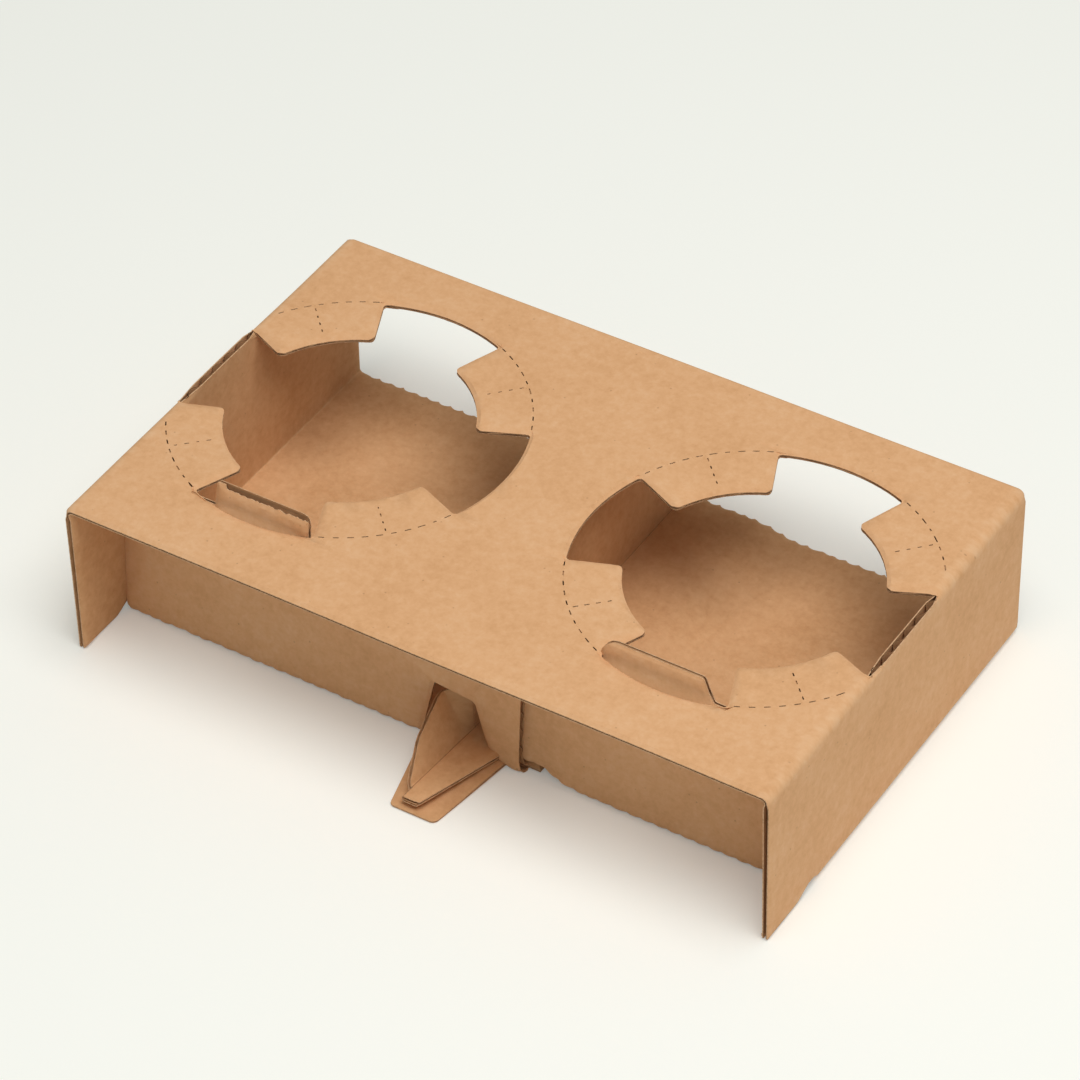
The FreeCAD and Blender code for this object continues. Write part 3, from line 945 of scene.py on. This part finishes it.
    def _torn_edge(self, start: float, stop: float, v: float) -> list[Corner]:
        """Ragged top of a paper that has been torn back along a lock tab.

        Args:
            start: Place of its inboard end along the wrap.
            stop: Place of its outboard end along the wrap.
            v: Middle of the tear, from front to back.

        Returns:
            The corners of the tear.
        """
        tear = self.tear
        count = round(abs(stop - start) / tear.step)
        corners = []
        for index in range(count + 1):
            u = mix(start, stop, index / count)
            coarse = noise.noise(Vector((u / tear.coarse_run, tear.coarse_row, 0.0)))
            fine = noise.noise(Vector((u / tear.fine_run, tear.fine_row, 0.0)))
            corners.append((u, v + tear.height * (coarse + tear.fine * fine), 0.0))
        return corners

    def _cutout(self) -> Outline:
        """Opening of the left wall round the tongues."""
        sheet, side = self.sheet, Side.LEFT
        hole = Outline()
        start = sheet.wall_start[side]
        hole.to(sheet.floor_u(side, sheet.tongues.cutout_left), start)
        for x, z, radius in sheet.tongues.cutout:
            hole.to(sheet.floor_u(side, x), sheet.wall_v(side, z), radius)
        return hole.to(sheet.floor_u(side, sheet.tongues.cutout_right), start)

    def _cup_hole(self, side: Side) -> Outline:
        """Round hole with four gaps. The outer gap ends in a straight cut at the end panel."""
        sheet, hole = self.sheet, self.sheet.hole
        centre = (side.value * sheet.hole_x, hole.y)
        cut = sheet.chord_cut
        ring = Outline()

        def spot(radius: float, angle: float) -> Point:
            turn = math.radians(angle)
            return centre[0] + side.value * radius * math.cos(turn), centre[1] + radius * math.sin(turn)

        def sweep(radius: float, low: float, high: float) -> None:
            if side is Side.RIGHT:
                ring.arc(centre, radius, low, high, hole.arc_step)
            else:
                ring.arc(centre, radius, 180 - low, 180 - high, hole.arc_step)

        for quarter in range(4):
            low = quarter * 90 - hole.gap_half_angle
            high = quarter * 90 + hole.gap_half_angle
            ring.to(*spot(hole.flap_radius, low), hole.flap_corner)
            if quarter == 0:
                ring.to(side.value * cut, hole.y - sheet.chord).to(side.value * cut, hole.y + sheet.chord)
            else:
                ring.to(*spot(hole.hinge_radius, low), hole.gap_corner)
                sweep(hole.hinge_radius, low, high)
                ring.to(*spot(hole.hinge_radius, high), hole.gap_corner)
            ring.to(*spot(hole.flap_radius, high), hole.flap_corner)
            sweep(hole.flap_radius, high, high + 90 - 2 * hole.gap_half_angle)
        return ring

    def perforations(self, side: Side) -> list[Outline]:
        """Cut dashes on the hinge arcs and down the middle of each flap.

        Args:
            side: Half of the wrap whose cup hole they belong to.

        Returns:
            One small outline for each dash.
        """
        sheet, hole = self.sheet, self.sheet.hole
        centre = Vector((side.value * sheet.hole_x, hole.y))
        dashes = []

        def uneven(quarter: int, place: float, seeds: tuple[float, ...]) -> float:
            turn, step, half, page = seeds
            row = side.value * half
            return 1 + hole.dash_uneven * noise.noise(Vector((quarter * turn + place * step, row, page)))

        def dash(spot: Vector, way: Vector, length: float) -> None:
            if abs(spot.x) > sheet.flat - self.trim.small:
                return
            along = way.normalized() * length / 2
            across = Vector((-way.y, way.x)).normalized() * hole.dash_width / 2
            blunt = along * hole.dash_blunt
            ring = Outline()
            for corner in (along, blunt + across, -blunt + across, -along, -blunt - across, blunt - across):
                ring.to(*(spot + corner))
            dashes.append(ring)

        arc = math.radians(90 - 2 * hole.gap_half_angle) * hole.hinge_radius
        count = int(arc / hole.dash_pitch)
        for quarter in range(4):
            middle = math.radians(quarter * 90 + 45)
            for index in range(count):
                turn = middle + (index - (count - 1) / 2) * hole.dash_pitch / hole.hinge_radius
                way = Vector((math.cos(turn), math.sin(turn)))
                length = hole.dash * uneven(quarter, index, hole.arc_noise)
                dash(centre + way * hole.hinge_radius, Vector((-way.y, way.x)), length)
            way = Vector((math.cos(middle), math.sin(middle)))
            radius = hole.hinge_radius - hole.spoke_ends[1]
            while radius > hole.flap_radius + hole.spoke_ends[0]:
                length = hole.spoke_dash * uneven(quarter, radius, hole.spoke_noise)
                dash(centre + way * radius, way, length)
                radius -= hole.spoke_pitch
        return dashes

    def lower_tongue(self) -> list[Outline]:
        """Outline of the tongue that stays flat in front of the left wall."""
        sheet, sizes = self.sheet, self.sheet.tongues
        start = sheet.wall_start[Side.LEFT]
        tip = sheet.box.foot_left - sizes.lower_reach
        shape = Outline()
        shape.to(sheet.floor_u(Side.LEFT, sizes.lower_root[0]), start)
        for x, radius in zip(sizes.lower_tip, sizes.lower_rounds):
            shape.to(sheet.floor_u(Side.LEFT, x), tip, radius)
        shape.to(sheet.floor_u(Side.LEFT, sizes.lower_root[1]), start)
        return [shape]

    def upper_tongue(self) -> list[Outline]:
        """Outline of the upper tongue, with its upright half past the crease."""
        sheet, sizes, trim = self.sheet, self.sheet.tongues, self.trim
        root, tip = sheet.wall_start[Side.RIGHT], sheet.tip_v
        crease = sheet.crease_start + sizes.crease_past
        corner = sheet.box.foot_left - sizes.lower_reach + sizes.upright_setback
        rise = sheet.divider_start
        shape = Outline().to(self.upper_root, root)
        for u, radius in zip((crease - sizes.upper_tip, crease), sizes.upper_rounds):
            shape.to(u, tip, radius)
        shape.to(crease, corner - sizes.crease_nick, trim.nick)
        shape.to(rise + sizes.shoulder_in, corner, trim.soft)
        shape.to(rise + sizes.upright_shoulder[1], corner + sizes.upright_shoulder[0], sizes.shoulder_round)
        shape.to(self.upright_peak, corner + sizes.upright_peak[0], trim.wide).to(self.upright_peak, root)
        return [shape]


@dataclass
class BoardLayer:
    """One of the board's three papers, cut from the blank and folded."""

    blank: Blank
    cuts: Cuts = Cuts()
    sharp_degrees: float = 35.0
    edge_slope: float = 0.3

    @property
    def layer(self) -> Layer:
        """The paper that this is."""
        return self.blank.layer

    @property
    def board(self) -> Board:
        """The board that the paper belongs to."""
        return self.blank.sheet.board

    def build(self, finishes: list[bpy.types.Material]) -> bpy.types.Object:
        """Cut, shape and fold the paper.

        Args:
            finishes: Face finish and cut edge finish.

        Returns:
            The finished object, in metres.
        """
        sheet = self.blank.sheet
        mesh = bpy.data.meshes.new(self.layer.value)
        whole = bmesh.new()
        dashes = [dash for side in Side for dash in self.blank.perforations(side)]
        jobs: list[tuple[list[Outline], list[Outline], Callable[[float, float, float], Vector],
                         Callable[[Vector], float]]] = [
            (self.blank.body(), dashes, sheet.fold, self.blank.kept),
            (self.blank.lower_tongue(), [], sheet.fold_lower_tongue, self.blank.kept_lower),
            (self.blank.upper_tongue(), [], sheet.fold_upper_tongue, self.blank.kept_upper),
        ]
        for outlines, pierced, fold, kept in jobs:
            part = self._cut(outlines, pierced)
            self._shape(part)
            self._pinch(part, outlines, kept)
            for vert in part.verts:
                vert.co = fold(*vert.co) * MM
            bmesh.ops.triangulate(part, faces=part.faces)
            part.to_mesh(mesh)
            part.free()
            whole.from_mesh(mesh)
        whole.to_mesh(mesh)
        whole.free()
        for polygon in mesh.polygons:
            polygon.use_smooth = True
        mesh.set_sharp_from_angle(angle=math.radians(self.sharp_degrees))
        for finish in finishes:
            mesh.materials.append(finish)
        piece = bpy.data.objects.new(self.layer.value, mesh)
        bpy.context.collection.objects.link(piece)
        return piece

    def _cut(self, outlines: list[Outline], dashes: list[Outline]) -> bmesh.types.BMesh:
        """Fill the outlines as one flat face set, with rings of faces along its cuts.

        Args:
            outlines: Outer outline and holes.
            dashes: Perforations, which go through the liners only.

        Returns:
            The flat mesh, in millimetres.
        """
        bm = bmesh.new()
        liner = self.layer is not Layer.FLUTING
        for outline in outlines:
            outline.draw(bm)
        pierced = [dash.draw(bm) for dash in dashes] if liner else []
        bmesh.ops.triangle_fill(bm, use_beauty=True, use_dissolve=False, edges=bm.edges[:], normal=(0, 0, 1))
        for face in bm.faces:
            face.material_index = FACE
        for ring in pierced:
            bm.faces.new(ring).material_index = PIERCED
        bm.normal_update()
        for face in bm.faces:
            if face.normal.z < 0:
                face.normal_flip()
        inner = bm.faces[:]
        for width in self.blank.die.rings if liner else ():
            made = bmesh.ops.inset_region(bm, faces=inner, use_boundary=True, thickness=width)
            rim = set(made["faces"])
            inner = [face for face in inner if face not in rim]
        return bm

    def _pinch(self, bm: bmesh.types.BMesh, outlines: list[Outline], kept: Callable[[Vector], float]) -> None:
        """Squeeze the paper towards the middle of the board along its cuts.

        Args:
            bm: Flat mesh with its thickness.
            outlines: The cuts.
            kept: Share of the thickness that is left at a place on a cut.
        """
        die = self.blank.die
        places = [spot for outline in outlines for spot in outline.walk(die.spacing)]
        shares = [kept(spot) for spot in places]
        tree = kdtree.KDTree(len(places))
        for index, spot in enumerate(places):
            tree.insert(spot, index)
        tree.balance()
        for vert in bm.verts:
            _, index, gap = tree.find((vert.co.x, vert.co.y, 0.0))
            if gap < die.reach:
                share = mix(shares[index], 1.0, smooth(gap / die.reach))
                vert.co.z = self.board.squeezed(self.layer, vert.co.z, share)

    def _shape(self, bm: bmesh.types.BMesh) -> None:
        """Cut the face set where it bends, give it its thickness and its flutes."""
        sheet, cuts = self.blank.sheet, self.cuts
        flutes = self.layer is Layer.FLUTING
        step = self.board.flute_pitch / self.board.samples_per_flute if flutes else cuts.liner_step
        rows = range(-round(cuts.front / step), round(cuts.back / step))
        self._slice(bm, Axis.V, [index * step for index in rows])
        if flutes:
            for vert in bm.verts:
                vert.co.z = self.board.flute_swing * math.sin(math.tau * vert.co.y / self.board.flute_pitch)
        self._slice(bm, Axis.U, self._fold_lines())
        for side in Side:
            start = sheet.wall_start[side]
            shifts = (-cuts.crease_half, cuts.crease_half)
            crease = [sheet.wall_v(side, LockTab.crease_z + shift) for shift in shifts]
            places = [start - index * cuts.foot_step for index in range(cuts.foot_steps)] + crease
            self._slice(bm, Axis.V, places,
                        lambda spot: spot.x * side.value > sheet.floor_start - cuts.foot_margin)
            low, high = sheet.floor_start, sheet.floor_u(side, 0) * side.value + cuts.past_middle
            fine = cuts.crinkle_step if self.layer is Layer.OUTER_LINER else cuts.hidden_step
            count = round((high - low) / fine)
            places = [side.value * mix(low, high, index / count) for index in range(1, count)]
            self._slice(bm, Axis.U, places,
                        lambda spot: start - cuts.foot_depth < spot.y < start + cuts.hair
                        and spot.x * side.value > low)
        bmesh.ops.delete(bm, geom=[f for f in bm.faces if f.material_index == PIERCED], context="FACES")
        self._thicken(bm)
        uv = bm.loops.layers.uv.new(SHEET_UV)
        for face in bm.faces:
            for loop in face.loops:
                loop[uv].uv = (loop.vert.co.x * MM, loop.vert.co.y * MM)

    def _fold_lines(self) -> list[float]:
        """Places along the wrap where the sheet is cut so that it can bend."""
        sheet, cuts = self.blank.sheet, self.cuts
        lines = []
        arc = sheet.end_start - sheet.flat
        for start in (sheet.flat, sheet.end_stop):
            lines += [side.value * (start + arc * index / cuts.bend_steps)
                      for side in Side for index in range(cuts.bend_steps + 1)]
        run = 0.0
        for piece in sheet.strips[Side.RIGHT].pieces:
            if piece.radius and run > sheet.floor_start:
                count = cuts.bend_steps if piece.run > cuts.short_bend else cuts.short_steps
                lines += [run + piece.run * index / count for index in range(count + 1)]
            run += piece.run
        return lines + [index * cuts.panel_step for index in range(cuts.panel_left, cuts.panel_right)]

    def _slice(self, bm: bmesh.types.BMesh, axis: Axis, places: list[float],
               chosen: Callable[[Vector], bool] | None = None) -> None:
        """Cut faces along parallel lines of the blank.

        Args:
            bm: Mesh to cut.
            axis: Direction in which the lines are spaced.
            places: Places of the lines.
            chosen: Says of a face's middle whether to cut the face, or None for all.
        """
        faces = [f for f in bm.faces if chosen is None or chosen(f.calc_center_median())]
        verts = dict.fromkeys(v for f in faces for v in f.verts)
        edges = dict.fromkeys(e for f in faces for e in f.edges)
        geom = [*verts, *edges, *faces]
        for place in places:
            spot, normal = Vector(), Vector()
            spot[axis.value], normal[axis.value] = place, 1.0
            made = bmesh.ops.bisect_plane(bm, geom=geom, dist=1e-5, plane_co=spot, plane_no=normal)
            geom = made["geom"]

    def _thicken(self, bm: bmesh.types.BMesh) -> None:
        """Give the flat paper its thickness and put it in its place in the board."""
        thick = self.board.medium if self.layer is Layer.FLUTING else self.board.liner
        for vert in bm.verts:
            vert.co.z -= thick / 2
        bmesh.ops.solidify(bm, geom=bm.faces[:], thickness=-thick)
        middle = {
            Layer.OUTER_LINER: self.board.half - thick / 2,
            Layer.FLUTING: 0.0,
            Layer.INNER_LINER: thick / 2 - self.board.half,
        }[self.layer]
        for vert in bm.verts:
            vert.co.z += middle
        bm.normal_update()
        for face in bm.faces:
            face.material_index = EDGE if abs(face.normal.z) < self.edge_slope else FACE


def linear(code: str) -> tuple[float, float, float, float]:
    """Turn an sRGB hex colour into Blender's linear one."""
    values = [int(code[i:i + 2], 16) / 255 for i in (1, 3, 5)]
    turned = [v / 12.92 if v <= 0.04045 else ((v + 0.055) / 1.055) ** 2.4 for v in values]
    return turned[0], turned[1], turned[2], 1.0


def add_node(tree: bpy.types.NodeTree, kind: str, settings: dict | None = None,
             inputs: dict | None = None) -> bpy.types.Node:
    """Add a node with its settings and links.

    Args:
        tree: Node tree that gets the node.
        kind: Blender's name of the node.
        settings: Properties of the node.
        inputs: For each input socket, a value or the output socket to link.

    Returns:
        The node.
    """
    node = tree.nodes.new(kind)
    for name, value in (settings or {}).items():
        setattr(node, name, value)
    for name, value in (inputs or {}).items():
        if isinstance(value, bpy.types.NodeSocket):
            tree.links.new(value, node.inputs[name])
        else:
            node.inputs[name].default_value = value
    return node


def new_material(name: str) -> tuple[bpy.types.Material, bpy.types.NodeTree, bpy.types.Node]:
    """Make an empty material.

    Returns:
        The material, its tree and its output node.
    """
    material = bpy.data.materials.new(name)
    material.use_nodes = True
    tree = material.node_tree
    tree.nodes.clear()
    return material, tree, add_node(tree, "ShaderNodeOutputMaterial")


@dataclass(frozen=True)
class KraftPaper:
    """Uncoated brown kraft paper, made from long softwood and recycled fibres.

    It gives the eye a matt, warm brown sheet, mottled at a few millimetres, with fine
    fibre grain, a few dark specks and a paler, crinkled band on its folds. Real fibres are
    about 0.03 mm wide: the grain is drawn as coarse as it needs to show.
    """

    name: str
    shade: str
    light: str
    dark: str
    fold_wear: float
    worn: str = "#E6C09B"
    # Dark colour of the bark specks, also used for the line of painted shade along a crease.
    speck_and_crease_shade: str = "#7E5436"
    roughness: float = 0.88
    shine: float = 0.25
    ior: float = 1.5
    # Each pattern: its size in millimetres, detail, roughness and share of the tone.
    grain: tuple[float, ...] = (1.3, 5.0, 0.7, 0.35)
    mottle: tuple[float, ...] = (3.2, 3.0, 0.55, 0.35)
    cloud: tuple[float, ...] = (26.0, 2.0, 0.55, 0.3)
    tone_range: Point = (0.36, 0.64)
    speck_mm: float = 5.0
    speck_range: Point = (0.03, 0.07)
    speck_share: float = 0.35
    fold_band: Point = (0.4, 2.8)
    patch_range: Point = (0.35, 0.65)
    # Width and share of the dark line painted as shade along a crease.
    crease_shade_band: Point = (0.1, 0.5)
    crease_shade_share: float = 0.8
    bump_mm: float = 0.12
    bump_strength: float = 0.5
    grain_height: float = 0.6
    ridge_height: float = 0.12

    def build(self, folds: list[float], flute_pitch: float, score: float | None = None) -> bpy.types.Material:
        """Make the material.

        Args:
            folds: Places of the folds along the wrap, in millimetres.
            flute_pitch: Length of one flute wave, in millimetres.
            score: Place along the wrap of a crease that gets a dark line of painted shade, or None.

        Returns:
            The material.
        """
        material, tree, output = new_material(self.name)
        sheet = add_node(tree, "ShaderNodeUVMap", {"uv_map": SHEET_UV})
        place = add_node(tree, "ShaderNodeVectorMath", {"operation": "SCALE"},
                         {"Vector": sheet.outputs["UV"], "Scale": 1 / MM}).outputs["Vector"]
        split = add_node(tree, "ShaderNodeSeparateXYZ", None, {"Vector": place})
        grain, mottle, cloud = (
            add_node(tree, "ShaderNodeTexNoise", None, {
                "Vector": place, "Scale": 1 / size, "Detail": detail, "Roughness": rough}).outputs["Fac"]
            for size, detail, rough, _ in (self.grain, self.mottle, self.cloud))
        tone = add_node(tree, "ShaderNodeMath", {"operation": "MULTIPLY"},
                        {0: cloud, 1: self.cloud[-1]}).outputs[0]
        for pattern, share in ((mottle, self.mottle[-1]), (grain, self.grain[-1])):
            tone = add_node(tree, "ShaderNodeMath", {"operation": "MULTIPLY_ADD"},
                            {0: pattern, 1: share, 2: tone}).outputs[0]
        ramp = add_node(tree, "ShaderNodeValToRGB", None, {"Fac": tone})
        stops = ramp.color_ramp.elements
        stops[0].position, stops[1].position = self.tone_range
        stops[0].color, stops[1].color = linear(self.dark), linear(self.light)
        stops.new(sum(self.tone_range) / 2).color = linear(self.shade)
        worn = self._fold_wear(tree, split.outputs["X"], folds, mottle)
        # Share of dark specks and of the painted shade line along the crease.
        dark = self._specks_and_crease_shade(tree, place, split.outputs["X"], score)
        shade = ramp.outputs["Color"]
        for share, colour in ((worn, self.worn), (dark, self.speck_and_crease_shade)):
            shade = add_node(tree, "ShaderNodeMix", {"data_type": "RGBA"},
                             {0: share, MIX_A: shade, MIX_B: linear(colour)}).outputs[MIX_RESULT]
        ridges = self._ridges(tree, split.outputs["Y"], flute_pitch)
        height = add_node(tree, "ShaderNodeMath", {"operation": "MULTIPLY_ADD"},
                          {0: grain, 1: self.grain_height, 2: ridges})
        bump = add_node(tree, "ShaderNodeBump", None,
                        {"Height": height.outputs[0], "Strength": self.bump_strength,
                         "Distance": self.bump_mm * MM})
        shader = add_node(tree, "ShaderNodeBsdfPrincipled", None,
                          {"Base Color": shade, "Roughness": self.roughness, "IOR": self.ior,
                           "Specular IOR Level": self.shine, "Normal": bump.outputs["Normal"]})
        tree.links.new(shader.outputs["BSDF"], output.inputs["Surface"])
        return material

    def _fold_wear(self, tree: bpy.types.NodeTree, along: bpy.types.NodeSocket, folds: list[float],
                   mottle: bpy.types.NodeSocket) -> bpy.types.NodeSocket:
        """Worn share of a place: high in mottled bands along the folds, on both sides of the wrap."""
        run = add_node(tree, "ShaderNodeMath", {"operation": "ABSOLUTE"}, {0: along}).outputs[0]
        worn: bpy.types.NodeSocket | float = 0.0
        for fold in folds:
            band = self._band(tree, run, fold, self.fold_band, self.fold_wear)
            worn = add_node(tree, "ShaderNodeMath", {"operation": "MAXIMUM"}, {0: worn, 1: band}).outputs[0]
        low, high = self.patch_range
        patchy = add_node(tree, "ShaderNodeMapRange", None,
                          {"Value": mottle, "From Min": low, "From Max": high}).outputs["Result"]
        return add_node(tree, "ShaderNodeMath", {"operation": "MULTIPLY"}, {0: worn, 1: patchy}).outputs[0]

    def _band(self, tree: bpy.types.NodeTree, along: bpy.types.NodeSocket, place: float, reach: Point,
              share: float) -> bpy.types.NodeSocket:
        """Share of a band across the wrap, which fades between two distances from its place."""
        gap = add_node(tree, "ShaderNodeMath", {"operation": "SUBTRACT"}, {0: along, 1: place}).outputs[0]
        gap = add_node(tree, "ShaderNodeMath", {"operation": "ABSOLUTE"}, {0: gap}).outputs[0]
        return add_node(tree, "ShaderNodeMapRange", {"interpolation_type": "SMOOTHSTEP"},
                        {"Value": gap, "From Min": reach[0], "From Max": reach[1], "To Min": share,
                         "To Max": 0.0}).outputs["Result"]

    def _specks_and_crease_shade(self, tree: bpy.types.NodeTree, place: bpy.types.NodeSocket, along: bpy.types.NodeSocket,
                    score: float | None) -> bpy.types.NodeSocket:
        """Share of dark bark specks, a third of a millimetre long, and of the dark line painted as shade
        along the scored crease.
        """
        cells = add_node(tree, "ShaderNodeTexVoronoi", None,
                         {"Vector": place, "Scale": 1 / self.speck_mm, "Randomness": 1.0})
        low, high = self.speck_range
        specks = add_node(tree, "ShaderNodeMapRange", None,
                          {"Value": cells.outputs["Distance"], "From Min": low, "From Max": high,
                           "To Min": self.speck_share, "To Max": 0.0}).outputs["Result"]
        if score is None:
            return specks
        crease_shade = self._band(tree, along, score, self.crease_shade_band, self.crease_shade_share)
        return add_node(tree, "ShaderNodeMath", {"operation": "MAXIMUM"}, {0: specks, 1: crease_shade}).outputs[0]

    def _ridges(self, tree: bpy.types.NodeTree, across: bpy.types.NodeSocket,
                pitch: float) -> bpy.types.NodeSocket:
        """Faint ridges of the flutes, which show through the liner."""
        turn = add_node(tree, "ShaderNodeMath", {"operation": "MULTIPLY"}, {0: across, 1: math.tau / pitch})
        wave = add_node(tree, "ShaderNodeMath", {"operation": "SINE"}, {0: turn.outputs[0]})
        return add_node(tree, "ShaderNodeMath", {"operation": "MULTIPLY"},
                        {0: wave.outputs[0], 1: self.ridge_height}).outputs[0]


@dataclass(frozen=True)
class RawEdge:
    """Die-cut paper edge: torn, dry fibre ends, rougher than the paper's face."""

    name: str
    shade: str
    dark: str
    fibre_mm: float = 0.7
    fibre_detail: float = 3.0
    tone_range: Point = (0.3, 0.6)
    bump_mm: float = 0.1
    bump_strength: float = 0.6
    roughness: float = 0.95
    shine: float = 0.1

    def build(self) -> bpy.types.Material:
        """Make the material.

        Returns:
            The material.
        """
        material, tree, output = new_material(self.name)
        place = add_node(tree, "ShaderNodeTexCoord").outputs["Object"]
        fibres = add_node(tree, "ShaderNodeTexNoise", None,
                          {"Vector": place, "Scale": 1 / (self.fibre_mm * MM), "Detail": self.fibre_detail})
        ramp = add_node(tree, "ShaderNodeValToRGB", None, {"Fac": fibres.outputs["Fac"]})
        stops = ramp.color_ramp.elements
        stops[0].color, stops[1].color = linear(self.dark), linear(self.shade)
        stops[0].position, stops[1].position = self.tone_range
        bump = add_node(tree, "ShaderNodeBump", None,
                        {"Height": fibres.outputs["Fac"], "Strength": self.bump_strength,
                         "Distance": self.bump_mm * MM})
        shader = add_node(tree, "ShaderNodeBsdfPrincipled", None,
                          {"Base Color": ramp.outputs["Color"], "Roughness": self.roughness,
                           "Specular IOR Level": self.shine, "Normal": bump.outputs["Normal"]})
        tree.links.new(shader.outputs["BSDF"], output.inputs["Surface"])
        return material


@dataclass(frozen=True)
class Studio:
    """Plain pale floor, soft light from above and the camera at the photograph's angle."""

    # Matt painted floor. It lights the part as a nearly white one does. The camera sees a
    # greyer one with a faint glow of its own, which keeps the far floor from darkening.
    floor_shade: str = "#FBFBF7"
    floor_seen: str = "#E7E7E3"
    floor_glow: float = 0.2
    floor_roughness: float = 0.9
    floor_size: float = 6.0
    key_power: float = 21.2
    key_size: float = 1.1
    key_place: Corner = (0.42, -0.22, 1.55)
    key_tint: Corner = (1.0, 0.985, 0.95)
    room_tint: Corner = (0.91, 1.0, 0.94)
    ambient: float = 0.25
    azimuth: float = 33.01
    elevation: float = 41.44
    roll: float = -1.58
    distance: float = 1.34033
    target: Corner = (-0.02308, 0.03284, 0.0)
    focal_px: float = 4888.8
    frame_px: float = 1080.0
    sensor_mm: float = 36.0
    clip: Point = (0.05, 20.0)

    def build(self) -> None:
        """Make the floor, the lights, the world and the camera."""
        self._floor()
        self._lights()
        self._camera()

    def _floor(self) -> None:
        """Make the floor that the carrier stands on."""
        bm = bmesh.new()
        bmesh.ops.create_grid(bm, x_segments=1, y_segments=1, size=self.floor_size / 2)
        mesh = bpy.data.meshes.new("studio_floor")
        bm.to_mesh(mesh)
        bm.free()
        material, tree, output = new_material("painted_studio_floor")
        seen = add_node(tree, "ShaderNodeLightPath").outputs["Is Camera Ray"]
        glow = add_node(tree, "ShaderNodeMath", {"operation": "MULTIPLY"}, {0: seen, 1: self.floor_glow})
        tone = add_node(tree, "ShaderNodeMix", {"data_type": "RGBA"}, {
            0: seen, MIX_A: linear(self.floor_shade), MIX_B: linear(self.floor_seen)}).outputs[MIX_RESULT]
        shader = add_node(tree, "ShaderNodeBsdfPrincipled", None,
                          {"Base Color": tone, "Roughness": self.floor_roughness, "Specular IOR Level": 0.0,
                           "Emission Color": linear(self.floor_shade), "Emission Strength": glow.outputs[0]})
        tree.links.new(shader.outputs["BSDF"], output.inputs["Surface"])
        mesh.materials.append(material)
        floor = bpy.data.objects.new("studio_floor", mesh)
        bpy.context.collection.objects.link(floor)

    def _lights(self) -> None:
        """Make the softbox overhead and the even light of the room."""
        scene = bpy.context.scene
        world = bpy.data.worlds.new("soft_room")
        world.use_nodes = True
        sky = world.node_tree.nodes["Background"].inputs
        sky["Color"].default_value = (*self.room_tint, 1.0)
        sky["Strength"].default_value = self.ambient
        scene.world = world
        lamp = bpy.data.lights.new("overhead_softbox", "AREA")
        lamp.shape = "SQUARE"
        lamp.size = self.key_size
        lamp.energy = self.key_power
        lamp.color = self.key_tint
        key = bpy.data.objects.new("overhead_softbox", lamp)
        bpy.context.collection.objects.link(key)
        key.location = self.key_place
        key.rotation_mode = "QUATERNION"
        key.rotation_quaternion = (-Vector(self.key_place)).to_track_quat("-Z", "Y")
        scene.view_settings.view_transform = "Standard"

    def _camera(self) -> None:
        """Make the camera at the photograph's angle."""
        data = bpy.data.cameras.new("photo_camera")
        data.sensor_width = self.sensor_mm
        data.lens = self.focal_px * data.sensor_width / self.frame_px
        data.clip_start, data.clip_end = self.clip
        camera = bpy.data.objects.new("photo_camera", data)
        bpy.context.collection.objects.link(camera)
        turn, rise, roll = (math.radians(a) for a in (self.azimuth, self.elevation, self.roll))
        back = Vector((math.sin(turn) * math.cos(rise), -math.cos(turn) * math.cos(rise), math.sin(rise)))
        right = Vector((0.0, 0.0, 1.0)).cross(back).normalized()
        up = back.cross(right)
        right, up = right * math.cos(roll) + up * math.sin(roll), up * math.cos(roll) - right * math.sin(roll)
        camera.location = Vector(self.target) + back * self.distance
        camera.rotation_euler = Matrix((right, up, back)).transposed().to_euler()
        bpy.context.scene.camera = camera


def main() -> None:
    """Build the three papers, dress them and set the studio."""
    logging.basicConfig(level=logging.INFO, format="%(name)s: %(message)s")
    box = BoxSizes.from_frame()
    board = Board()
    sheet = FoldedSheet(box, board, CupHole(), Tongues())
    folds = [(sheet.flat + sheet.end_start) / 2, (sheet.end_stop + sheet.floor_start) / 2]
    # Outer liner: the brightest paper, a little worn on its folds.
    outer = KraftPaper("kraft_liner_outer", "#DFAC7F", "#E5B68C", "#D5A173", 0.3)
    # Inner liner: the same kraft as the outer one, drawn browner as painted shade for the dim inside of the
    # box. It also gets a dark line of painted shade along the crease that parts the upper tongue.
    inner = KraftPaper("kraft_liner_inner_painted_shade", "#D2A276", "#DAAC81", "#C79568", 0.1)
    # Fluted medium: recycled paper, the darkest of the three.
    medium = KraftPaper("kraft_medium", "#BE9068", "#C89C74", "#B08258", 0.0)
    # Cut edges: pale fibre ends on the liners. The fluting's cut edge is drawn dark brown, as painted shade
    # for the shadowed slot between the liners.
    pale = RawEdge("raw_liner_edge", "#D6AE8A", "#B78D68").build()
    medium_edge_painted_shade = RawEdge("raw_medium_edge_painted_shade", "#7E5A3E", "#5F412A").build()
    finishes = {
        Layer.OUTER_LINER: [outer.build(folds, board.flute_pitch), pale],
        Layer.FLUTING: [medium.build(folds, board.flute_pitch), medium_edge_painted_shade],
        Layer.INNER_LINER: [inner.build(folds, board.flute_pitch, sheet.score), pale],
    }
    for layer in Layer:
        piece = BoardLayer(Blank(sheet, layer)).build(finishes[layer])
        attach(piece, "root")
        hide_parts(NODE)
        log.info("%s: %d triangles", piece.name, len(piece.data.polygons))
    Studio().build()


if __name__ == "__main__":
    main()
